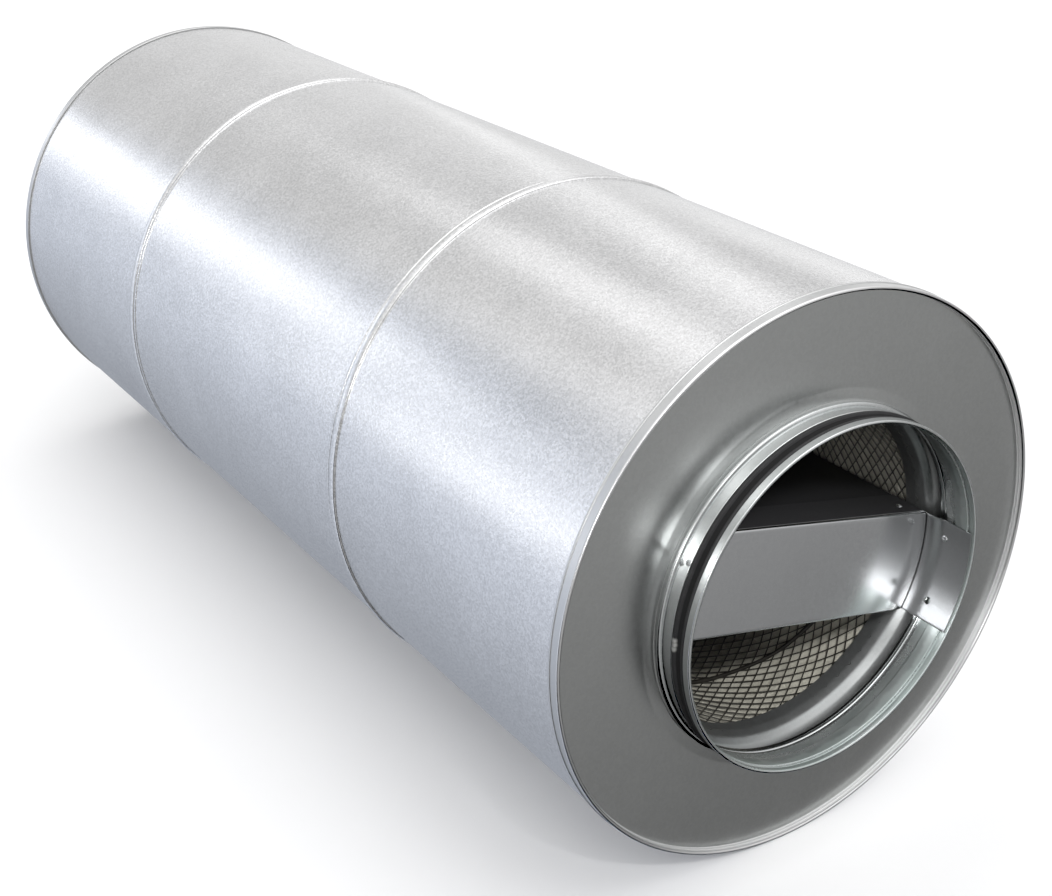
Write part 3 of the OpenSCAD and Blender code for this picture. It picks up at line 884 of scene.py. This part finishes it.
def cap_outline():
    """Drawn collar, flat face and folded rim of a cap"""
    casing = sizes("attenuator_casing")
    duct = sizes("attenuator_duct")
    face, sheet = duct.cap_place, casing.sheet
    rim_out = casing.radius + 1.1 * sheet
    rim_in = rim_out - casing.rim_width
    middle, half = (rim_out + rim_in) / 2, casing.rim_width / 2
    base = casing.rim_height - casing.rim_crown
    flat = duct.radius + casing.collar_flat
    foot = flat + casing.collar_slope
    collar = duct.radius + 0.1 * sheet
    turn = 3.5 * sheet

    def crown(half_width, rise, way):
        steps = 18
        return [
            (
                base + rise * math.sin(math.pi * k / steps),
                middle - way * half_width * math.cos(math.pi * k / steps),
            )
            for k in range(steps + 1)
        ]

    top = rounded(
        [
            (casing.collar_rise - sheet, collar, 0.2 * sheet),
            (casing.collar_rise, collar, 0.3 * sheet),
            (casing.collar_rise, flat, 1.2 * sheet),
            (0.4 * casing.collar_rise, flat + 0.22 * casing.collar_slope, turn),
            (0, foot, 8 * turn),
            (0, rim_in, 0.8 * sheet),
            (0.35 * base, rim_in, 0.1 * sheet),
            (0.45 * base, rim_in - 0.5 * sheet, 0.2 * sheet),
            (0.62 * base, rim_in - 0.5 * sheet, 0.2 * sheet),
            (0.72 * base, rim_in, 0.1 * sheet),
            (base, rim_in, 0),
        ]
    )
    hem_end = casing.rim_height - casing.rim_hem
    hem = arch(hem_end, 2.6 * sheet, rim_out, 0.7 * sheet)[::-1] + [(hem_end, rim_out - sheet)]
    under = rounded(
        [
            (base, rim_in + sheet, 0),
            (-sheet, rim_in + sheet, 0.6 * sheet),
            (-sheet, foot, 8 * turn),
            (0.4 * casing.collar_rise - sheet, flat + 0.22 * casing.collar_slope, turn),
            (casing.collar_rise - sheet, flat, 1.2 * sheet),
            (casing.collar_rise - sheet, collar, 0),
        ]
    )
    outline = top[:-1] + crown(half, casing.rim_crown, 1) + hem
    outline += crown(half - sheet, casing.rim_crown - sheet, -1) + under[1:-1]
    return [(face + along, out) for along, out in outline]


def spigot_outline():
    """Stop bead, gasket groove, hemmed lip and foot of a spigot"""
    duct = sizes("attenuator_duct")
    wall, sheet = duct.radius, duct.sheet
    groove_end = duct.groove_start + duct.groove_width
    low = wall - duct.groove_depth
    flange = wall + 3.5 * sheet

    def side(shift, back):
        bead = [(a, r, 0) for a, r in arch(duct.bead_start, duct.bead_width, wall - shift, duct.bead_height)]
        groove = [
            (duct.groove_start, wall - shift, 0.9 * sheet),
            (duct.groove_start + sheet, low - shift, 0.9 * sheet),
            (groove_end - sheet, low - shift, 0.9 * sheet),
            (groove_end, wall - shift, 0.9 * sheet),
        ]
        way = bead + groove
        return way[::-1] if back else way

    lip = [
        (duct.reach, wall, 1.4 * sheet),
        (duct.reach, wall - 3 * sheet, 1.4 * sheet),
        (duct.reach - duct.hem, wall - 3 * sheet, 0.5 * sheet),
        (duct.reach - duct.hem, wall - sheet, 0.2 * sheet),
    ]
    foot = [
        (-0.1 * sheet, wall - sheet, 0.8 * sheet),
        (-0.1 * sheet, flange, 0),
        (0.9 * sheet, flange, 0),
        (0.9 * sheet, wall, 0.2 * sheet),
    ]
    outline = rounded(side(0.0, False) + lip + side(sheet, True) + foot)
    return [(duct.cap_place + along, out) for along, out in outline]


def gasket_outline():
    """Raised rear lip, deep valley and a lower, narrow front lip"""
    duct = sizes("attenuator_duct")
    wall, sheet = duct.radius, duct.sheet
    start = duct.groove_start + 1.05 * sheet
    end = duct.groove_start + duct.groove_width - 1.05 * sheet
    crown = wall + duct.gasket_proud
    base = wall - duct.groove_depth + 0.05 * sheet
    corners = [
        (start, base, 0),
        (start, wall - 1.0 * sheet, 0.2 * sheet),
        (start + 0.9 * sheet, crown, 0.5 * sheet),
        (start + 3.4 * sheet, crown, 0.6 * sheet),
        (start + 4.4 * sheet, base + 0.5 * sheet, 0.3 * sheet),
        (end - 3.4 * sheet, base + 0.5 * sheet, 0.3 * sheet),
        (end - 2.4 * sheet, wall - 0.4 * sheet, 0.4 * sheet),
        (end - 1.2 * sheet, wall - 0.4 * sheet, 0.4 * sheet),
        (end, wall - 1.6 * sheet, 0.2 * sheet),
        (end, base, 0),
    ]
    return [(duct.cap_place + along, out) for along, out in rounded(corners)]


def ring_outline():
    """Flange, flare and bore of a ring"""
    lining = sizes("attenuator_lining")
    duct = sizes("attenuator_duct")
    sheet = duct.sheet
    face = -lining.ring_face
    middle = lining.bore + lining.flare
    end = face - lining.ring_length
    flange_in = lining.flange_radius - 10 * sheet
    flare = [
        (face - 0.22 * lining.flare, lining.bore + 0.81 * lining.flare, 5 * sheet),
        (face - 0.47 * lining.flare, lining.bore + 0.49 * lining.flare, 8 * sheet),
        (face - 0.87 * lining.flare, lining.bore + 0.21 * lining.flare, 12 * sheet),
        (face - 1.37 * lining.flare, lining.bore + 0.06 * lining.flare, 20 * sheet),
    ]
    corners = [
        (-1.1 * sheet, lining.flange_radius, 0),
        (-1.1 * sheet, flange_in, 2 * sheet),
        (face, middle + sheet, 0),
        *flare,
        (end, lining.bore, 0.3 * sheet),
        (end, lining.bore + sheet, 0.3 * sheet),
        *[(along - 0.6 * sheet, out + 0.8 * sheet, soft) for along, out, soft in reversed(flare)],
        (face - sheet, middle + sheet, 0),
        (-2.1 * sheet, flange_in, 2 * sheet),
        (-2.1 * sheet, lining.flange_radius, 0),
    ]
    return [(duct.cap_place + along, out) for along, out in rounded(corners)]


# Operators


class ATTENUATOR_OT_casing(bpy.types.Operator):
    """Spins the three casing sections with their ring seams"""

    bl_idname = "attenuator.casing"
    bl_label = "Casing sections"

    def execute(self, context):
        turned_pair("casing_{}_shell", held(end_section_outline()), "casing", "casing_sheet", "casing_{}")
        piece = turned("casing_middle_shell", held(middle_section_outline()))
        settle(piece, finish("casing"), "casing_sheet", "casing_middle")
        return {"FINISHED"}


class ATTENUATOR_OT_caps(bpy.types.Operator):
    """Spins the two end caps with their drawn collars and folded rims"""

    bl_idname = "attenuator.caps"
    bl_label = "End caps"

    def execute(self, context):
        turned_pair("end_cap_{}_plate", held(cap_outline()), "cap", "cap_sheet", "end_cap_{}")
        return {"FINISHED"}


class ATTENUATOR_OT_spigots(bpy.types.Operator):
    """Spins the two spigots with bead, gasket groove and hemmed lip"""

    bl_idname = "attenuator.spigots"
    bl_label = "Spigots"

    def execute(self, context):
        turned_pair("spigot_{}_collar", held(spigot_outline()), "spigot", "spigot_sheet", "spigot_{}")
        return {"FINISHED"}


class ATTENUATOR_OT_gaskets(bpy.types.Operator):
    """Spins the two-lip rubber gaskets"""

    bl_idname = "attenuator.gaskets"
    bl_label = "Gaskets"

    def execute(self, context):
        turned_pair("gasket_{}_rubber", gasket_outline(), "rubber", "rubber", "gasket_{}")
        return {"FINISHED"}


class ATTENUATOR_OT_rings(bpy.types.Operator):
    """Spins the flared rings behind the spigots"""

    bl_idname = "attenuator.rings"
    bl_label = "Flared rings"

    def execute(self, context):
        turned_pair("inner_ring_{}_flare", held(ring_outline()), "ring", "spigot_sheet", "inner_ring_{}")
        return {"FINISHED"}


class ATTENUATOR_OT_wool(bpy.types.Operator):
    """Spins the wool tube and raises lumps on its inner wall"""

    bl_idname = "attenuator.wool"
    bl_label = "Wool lining"

    def execute(self, context):
        lining = sizes("attenuator_lining")
        rows = 150
        reach = lining.mouth_reach
        inner = [(reach - 2 * reach * k / rows, lining.wool_radius) for k in range(rows + 1)]
        outline = inner + [
            (-reach, lining.mouth_radius),
            (-lining.wool_reach, lining.mouth_radius),
            (-lining.wool_reach, lining.wool_outside),
            (lining.wool_reach, lining.wool_outside),
            (lining.wool_reach, lining.mouth_radius),
            (reach, lining.mouth_radius),
        ]
        piece = turned("wool_lining_mat", outline, steps=150)
        lumps = bpy.data.textures.new("wool_lumps", "CLOUDS")
        lumps.noise_scale = 0.045
        lumps.noise_depth = 2
        inside = piece.vertex_groups.new(name="inner_wall")
        limit = lining.wool_radius + 0.001
        inside.add([v.index for v in piece.data.vertices if math.hypot(v.co.y, v.co.z) < limit], 1.0, "REPLACE")
        apply(
            piece, "DISPLACE", texture=lumps, texture_coords="LOCAL", vertex_group="inner_wall",
            strength=-2 * lining.lumps, mid_level=0.0,
        )
        settle(piece, finish("wool"), "mineral_wool", "wool_lining", smooth=60)
        return {"FINISHED"}


class ATTENUATOR_OT_mesh(bpy.types.Operator):
    """Winds the wire mesh tube out of two sets of crossing strands"""

    bl_idname = "attenuator.mesh"
    bl_label = "Wire mesh"

    def wound(self, name, corners, angle, reach, steps):
        """Wire whose section is wound about the duct axis by this angle while it moves along by this reach"""
        piece = drawn(name, corners)
        leave()
        apply(
            piece, "SCREW", axis="X", angle=angle, screw_offset=reach,
            steps=steps, render_steps=steps, use_merge_vertices=False, iterations=1,
        )
        edit(piece)
        bpy.ops.mesh.fill_holes(sides=0)
        bpy.ops.mesh.normals_make_consistent(inside=False)
        leave()
        return piece

    def strand_set(self, name, hand):
        """All strands of one hand, copied round from one three-sided strand"""
        lining = sizes("attenuator_lining")
        steps = round(2 * lining.mesh_reach / lining.strand_step)
        pitch_angle = FULL_TURN / lining.strands * steps
        corners = []
        for k in range(3):
            a = FULL_TURN * k / 3 + math.pi / 6
            corners.append(
                (
                    -lining.mesh_reach + 1.2 * lining.strand * math.cos(a),
                    0.0,
                    lining.mesh_radius + lining.strand * math.sin(a),
                )
            )
        piece = self.wound(name, corners, hand * pitch_angle, 2 * lining.mesh_reach, steps)
        edit(piece)
        share = (lining.strands - 1) / lining.strands
        bpy.ops.mesh.spin(
            steps=lining.strands - 1, angle=FULL_TURN * share, dupli=True, center=(0, 0, 0), axis=(1, 0, 0)
        )
        leave()
        return piece

    def lap_wire(self, name, way):
        """Thicker wire where one mat of mesh ends over the next, slanting round the tube"""
        lining = sizes("attenuator_lining")
        thick = LAP_THICK * lining.strand
        turn = math.radians(LAP_START)
        corners = []
        for k in range(6):
            a = FULL_TURN * k / 6
            out = lining.mesh_radius - 1.2 * lining.strand + thick * math.sin(a)
            place = Vector((way * (LAP_PLACE + thick * math.cos(a)), 0, 0))
            corners.append(place + Vector((0, out * math.cos(turn), out * math.sin(turn))))
        return self.wound(name, corners, math.radians(LAP_SWEEP), way * LAP_RUN, LAP_STEPS)

    def execute(self, context):
        wires = [self.strand_set("strands_one", 1), self.strand_set("strands_two", -1)]
        wires += [self.lap_wire(f"lap_wire_{end}", way) for end, way in ENDS]
        piece = joined("mesh_liner_wires", wires)
        slack = bpy.data.textures.new("mesh_slack", "CLOUDS")
        slack.noise_scale = 0.09
        slack.noise_depth = 1
        apply(
            piece, "DISPLACE", texture=slack, texture_coords="LOCAL", direction="X",
            strength=MESH_SLACK, mid_level=0.5,
        )
        settle(piece, finish("wire"), "wire_mesh", "mesh_liner", smooth=80)
        return {"FINISHED"}


class ATTENUATOR_OT_noses(bpy.types.Operator):
    """Folds the sheet covers on the two ends of the baffle"""

    bl_idname = "attenuator.noses"
    bl_label = "Baffle noses"

    def execute(self, context):
        baffle = sizes("attenuator_baffle")
        half, sheet = baffle.half, baffle.sheet
        back, face = baffle.nose_place - baffle.fold, baffle.nose_place
        outline = rounded(
            [
                (back, half, 0),
                (face, half, baffle.bend),
                (face, -half, baffle.bend),
                (back, -half, 0),
                (back, sheet - half, 0),
                (face - sheet, sheet - half, baffle.bend - sheet),
                (face - sheet, half - sheet, baffle.bend - sheet),
                (back, half - sheet, 0),
            ]
        )
        for end, way in ENDS:
            places = [(way * along, -baffle.nose_radius, up) for along, up in outline]
            piece = drawn(f"baffle_nose_{end}_cover", places)
            bpy.ops.mesh.edge_face_add()
            bpy.ops.mesh.extrude_region_move(TRANSFORM_OT_translate={"value": (0, 2 * baffle.nose_radius, 0)})
            bpy.ops.mesh.select_all(action="SELECT")
            bpy.ops.mesh.normals_make_consistent(inside=False)
            leave()
            deselect()
            bpy.ops.mesh.primitive_cylinder_add(
                vertices=FINE_STEPS, radius=baffle.nose_radius, depth=4 * baffle.fold,
                location=(way * face, 0, 0), rotation=(0, math.pi / 2, 0),
            )
            cut(piece, bpy.context.object, "INTERSECT")
            placed(piece, Matrix.Rotation(-baffle.roll, 4, "X"))
            settle(piece, finish("nose"), "baffle_sheet", f"baffle_nose_{end}")
        return {"FINISHED"}


class ATTENUATOR_OT_brackets(bpy.types.Operator):
    """Spins the curved tabs between the baffle and the spigots and drills their open holes"""

    bl_idname = "attenuator.brackets"
    bl_label = "Brackets"

    def execute(self, context):
        baffle = sizes("attenuator_baffle")
        duct = sizes("attenuator_duct")
        sheet = baffle.sheet
        top = [
            (baffle.tab_front, baffle.tab_radius, 0),
            (baffle.tab_bend, baffle.tab_radius, 26 * sheet),
            (baffle.tab_bend - baffle.tab_slope, baffle.back_radius, 26 * sheet),
            (-baffle.tab_back, baffle.back_radius, 0),
        ]
        under = [(along, out - sheet, radius) for along, out, radius in reversed(top)]
        outline = [(duct.cap_place + along, out) for along, out in rounded(top + under)]
        for end, way in ENDS:
            for side, about in SIDES:
                middle = about - baffle.roll
                piece = turned(
                    f"bracket_{end}_{side}_tab", mirrored(held(outline, 3 * sheet), way), steps=40,
                    start=middle + baffle.tab_half, sweep=2 * baffle.tab_half,
                )
                aim = Matrix.Rotation(middle - baffle.fixing, 4, "X")
                deselect()
                bpy.ops.mesh.primitive_cylinder_add(vertices=40, radius=baffle.hole, depth=0.02)
                tool = bpy.context.object
                place = Matrix.Translation((way * (duct.cap_place + baffle.fixing_place), baffle.tab_radius, 0))
                placed(tool, aim @ place @ Matrix.Rotation(math.pi / 2, 4, "X"))
                cut(piece, tool, "DIFFERENCE")
                apply(
                    piece, "BEVEL", width=0.25 * sheet, segments=2,
                    limit_method="ANGLE", angle_limit=math.radians(50),
                )
                settle(piece, finish("baffle"), "baffle_sheet", f"bracket_{end}_{side}")
        return {"FINISHED"}


class ATTENUATOR_OT_rivets(bpy.types.Operator):
    """Turns the domed rivets and sets them on the brackets and noses"""

    bl_idname = "attenuator.rivets"
    bl_label = "Rivets"

    def dome(self, name, height):
        """Low dome on Z with a small hollow in its middle and a short shank below"""
        baffle = sizes("attenuator_baffle")
        radius = baffle.head
        shape = [
            (0.0, 0.45 * height),
            (0.16 * radius, 0.5 * height),
            (0.24 * radius, 0.9 * height),
            (0.34 * radius, height),
            (0.6 * radius, 0.86 * height),
            (0.85 * radius, 0.55 * height),
            (radius, 0.16 * height),
            (radius, 0.0),
            (0.5 * radius, 0.0),
            (0.5 * radius, -1.4 * baffle.sheet),
            (0.0, -1.4 * baffle.sheet),
        ]
        piece = drawn(name, [(out, 0.0, up) for out, up in shape], closed=False)
        bpy.ops.mesh.spin(steps=28, angle=FULL_TURN, center=(0, 0, 0), axis=(0, 0, 1))
        bpy.ops.mesh.select_all(action="SELECT")
        bpy.ops.mesh.remove_doubles(threshold=MERGE)
        bpy.ops.mesh.normals_make_consistent(inside=False)
        leave()
        return piece

    def execute(self, context):
        baffle = sizes("attenuator_baffle")
        duct = sizes("attenuator_duct")
        tabs, noses = [], []
        for end, way in ENDS:
            for side, about in SIDES:
                aim = Matrix.Rotation(about - baffle.roll + baffle.fixing, 4, "X")
                seat = baffle.tab_radius - baffle.sheet
                place = Matrix.Translation((way * (duct.cap_place + baffle.fixing_place), seat, 0))
                tabs.append(self.dome(f"tab_rivet_{end}_{side}", 0.75 * baffle.head_height))
                placed(tabs[-1], aim @ place @ Matrix.Rotation(math.pi / 2, 4, "X"))
                for about_y in (0.0, math.pi):
                    spot = (way * (baffle.nose_place - baffle.rivet_back), baffle.rivet_side, baffle.half)
                    turn = Matrix.Rotation(-baffle.roll, 4, "X") @ Matrix.Rotation(about + about_y, 4, "X")
                    flip = Matrix.Diagonal((1, -1 if about_y else 1, 1, 1))
                    noses.append(self.dome(f"nose_rivet_{end}_{side}_{int(about_y)}", baffle.head_height))
                    placed(noses[-1], turn @ Matrix.Translation(Vector(spot) @ flip.to_3x3()))
        settle(joined("bracket_rivets_domes", tabs), finish("rivet"), "rivet_metal", "bracket_rivets")
        settle(joined("nose_rivets_domes", noses), finish("rivet"), "rivet_metal", "nose_rivets")
        return {"FINISHED"}


class ATTENUATOR_OT_plain_parts(bpy.types.Operator):
    """Gives the baffle's slab, facings and channels their finishes"""

    bl_idname = "attenuator.plain_parts"
    bl_label = "Slab, facings and channels"

    def execute(self, context):
        for node, name in (
            ("baffle_core", "wool"),
            ("baffle_facing_upper", "facing"),
            ("baffle_facing_lower", "facing"),
            # The metal channels take the black facing finish, so they show black.
            ("baffle_rail_left", "facing"),
            ("baffle_rail_right", "facing"),
        ):
            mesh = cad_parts[node].data
            mesh.materials.clear()
            mesh.materials.append(finish(name))
        return {"FINISHED"}


class ATTENUATOR_OT_stage(bpy.types.Operator):
    """Sets the camera, the pale floor, the lamps and the studio light"""

    bl_idname = "attenuator.stage"
    bl_label = "Stage"

    def camera(self, scene, stage):
        deselect()
        bpy.ops.object.camera_add(location=stage.eye, rotation=(stage.pitch, 0, stage.azimuth))
        camera = bpy.context.object
        camera.data.sensor_width = 36
        camera.data.sensor_fit = "HORIZONTAL"
        camera.data.lens = stage.lens
        camera.data.clip_start = 0.05
        scene.camera = camera

    def floor(self, stage):
        deselect()
        bpy.ops.mesh.primitive_plane_add(size=2 * stage.floor_reach, location=(0, 0, CAD_BOX[0][2]))
        floor = bpy.context.object
        floor.name = "pale_floor"
        bpy.ops.object.transform_apply(location=True)
        material, weave, shader, place = surface("pale_floor")
        tone = sizes("attenuator_finish").floor
        grain = weave.noise(place, 3.0, 2.0)
        weave.feed(
            shader.inputs["Base Color"],
            weave.mixed(weave.ranged(grain, 0.3, 0.7, 0.0, 1.0), shade(tone, 0.995), tone),
        )
        shader.inputs["Roughness"].default_value = 1.0
        shader.inputs["Specular IOR Level"].default_value = 0.0
        floor.data.materials.append(material)
        floor.visible_glossy = False
        floor.visible_diffuse = False

    def mouth_lamp(self, stage):
        deselect()
        place = Vector(stage.lamp)
        aim = (Vector(stage.lamp_aim) - place).to_track_quat("-Z", "Y").to_euler()
        bpy.ops.object.light_add(type="SPOT", location=place, rotation=aim)
        lamp = bpy.context.object
        lamp.name = "mouth_lamp"
        lamp.data.energy = stage.mouth_power
        lamp.data.spot_size = math.radians(15)
        lamp.data.spot_blend = 0.5
        lamp.data.shadow_soft_size = 0.1
        lamp.visible_glossy = False
        lamp.visible_camera = False

    def world(self, scene):
        """Studio light by direction: soft boxes beside and above, a darker room in front"""
        world = bpy.data.worlds.new("studio")
        scene.world = world
        world.use_nodes = True
        tree = world.node_tree
        tree.nodes.clear()
        weave = Weave(tree)
        aim = weave.node("ShaderNodeTexCoord").outputs["Generated"]
        x, y, z = weave.parts(aim)
        c, s = math.cos(math.radians(120)), math.sin(math.radians(120))
        up = weave.minus(weave.times(z, c), weave.times(y, s))
        over = weave.plus(weave.times(y, c), weave.times(z, s))
        round_axis = weave.plus(weave.math("DEGREES", weave.math("ARCTAN2", up, over)), 120.0)
        ramp = weave.node("ShaderNodeValToRGB", {"Fac": weave.ranged(round_axis, -60.0, 300.0, 0.0, 1.0, "LINEAR")})
        points = ramp.color_ramp.elements
        while len(points) < len(SKY):
            points.new(0.5)
        for point, (angle, value, tint) in zip(points, SKY):
            point.position = (angle + 60) / 360
            point.color = (*shade(tint, value), 1.0)
        bands = 0.0
        for middle, lean, at, width, strength, fades in BANDS:
            shift = weave.times(weave.plus(x, at), lean)
            off = weave.math("DIVIDE", weave.minus(round_axis, weave.plus(shift, middle)), width)
            glow = weave.math("EXPONENT", weave.times(weave.times(off, off), -1.0))
            glow = weave.times(glow, strength)
            for fade in fades:
                glow = weave.times(glow, weave.ranged(x, *fade))
            bands = weave.plus(bands, glow)
        lit = weave.node("ShaderNodeVectorMath", {0: ramp.outputs["Color"], 1: bands}, operation="ADD")
        low = weave.plus(weave.minus(x, 0.62), 0.33)
        low = weave.plus(low, weave.times(weave.plus(z, 0.5), 0.5))
        sides = weave.plus(weave.ranged(y, 0.1, 0.6, 0.0, 0.3), weave.ranged(y, -0.6, -0.1, 0.25, 0.0))
        front = weave.ranged(z, weave.plus(sides, -0.28), weave.plus(sides, 0.25), low, 0.85)
        front = weave.times(front, weave.ranged(x, 0.78, 0.93, 1.0, 0.45))
        lamps = 0.0
        for toward, focus, strength in BEAMS:
            lamp = weave.node("ShaderNodeVectorMath", operation="DOT_PRODUCT")
            weave.feed(lamp.inputs[0], aim)
            lamp.inputs[1].default_value = Vector(toward).normalized()
            beam = weave.math("POWER", weave.math("MAXIMUM", lamp.outputs["Value"], 0.0), focus)
            lamps = weave.plus(lamps, weave.times(beam, strength))
        edge = weave.ranged(z, 0.15, 0.40, 0.0, -0.69)
        ahead = weave.ranged(x, weave.plus(edge, -0.03), weave.plus(edge, 0.03), 0.0, 1.0)
        light = weave.mixed(ahead, lit.outputs[0], front)
        total = weave.node("ShaderNodeVectorMath", {0: light, 1: lamps}, operation="ADD")
        studio = weave.node("ShaderNodeBackground", {"Color": total.outputs[0], "Strength": 1.0})
        white = weave.node("ShaderNodeBackground", {"Color": (1, 1, 1, 1), "Strength": 1.0})
        seen = weave.node("ShaderNodeLightPath").outputs["Is Camera Ray"]
        both = weave.node("ShaderNodeMixShader", {0: seen, 1: studio.outputs[0], 2: white.outputs[0]})
        weave.node("ShaderNodeOutputWorld", {"Surface": both.outputs[0]})

    def execute(self, context):
        scene = context.scene
        stage = scene.attenuator_stage
        self.camera(scene, stage)
        self.floor(stage)
        self.mouth_lamp(stage)
        self.world(scene)
        scene.view_settings.view_transform = "Standard"
        return {"FINISHED"}


class ATTENUATOR_PT_sidebar(bpy.types.Panel):
    """Lists the attenuator's operators"""

    bl_idname = "ATTENUATOR_PT_sidebar"
    bl_label = "Attenuator"
    bl_space_type = "VIEW_3D"
    bl_region_type = "UI"
    bl_category = "Attenuator"

    def draw(self, context):
        for operator in OPERATORS:
            self.layout.operator(operator.bl_idname)


GROUPS = {
    "attenuator_duct": DuctSizes,
    "attenuator_casing": CasingSizes,
    "attenuator_lining": LiningSizes,
    "attenuator_baffle": BaffleSizes,
    "attenuator_finish": Finishes,
    "attenuator_stage": StageSizes,
}
OPERATORS = (
    ATTENUATOR_OT_casing,
    ATTENUATOR_OT_caps,
    ATTENUATOR_OT_spigots,
    ATTENUATOR_OT_gaskets,
    ATTENUATOR_OT_rings,
    ATTENUATOR_OT_wool,
    ATTENUATOR_OT_mesh,
    ATTENUATOR_OT_noses,
    ATTENUATOR_OT_brackets,
    ATTENUATOR_OT_rivets,
    ATTENUATOR_OT_plain_parts,
    ATTENUATOR_OT_stage,
)


def register():
    for name, settings in GROUPS.items():
        bpy.utils.register_class(settings)
        setattr(bpy.types.Scene, name, bpy.props.PointerProperty(type=settings))
    for operator in OPERATORS:
        bpy.utils.register_class(operator)
    bpy.utils.register_class(ATTENUATOR_PT_sidebar)


def unregister():
    bpy.utils.unregister_class(ATTENUATOR_PT_sidebar)
    for operator in reversed(OPERATORS):
        bpy.utils.unregister_class(operator)
    for name, settings in reversed(GROUPS.items()):
        delattr(bpy.types.Scene, name)
        bpy.utils.unregister_class(settings)


def main():
    register()
    for operator in OPERATORS:
        family, name = operator.bl_idname.split(".")
        getattr(getattr(bpy.ops, family), name)()


if __name__ == "__main__":
    main()
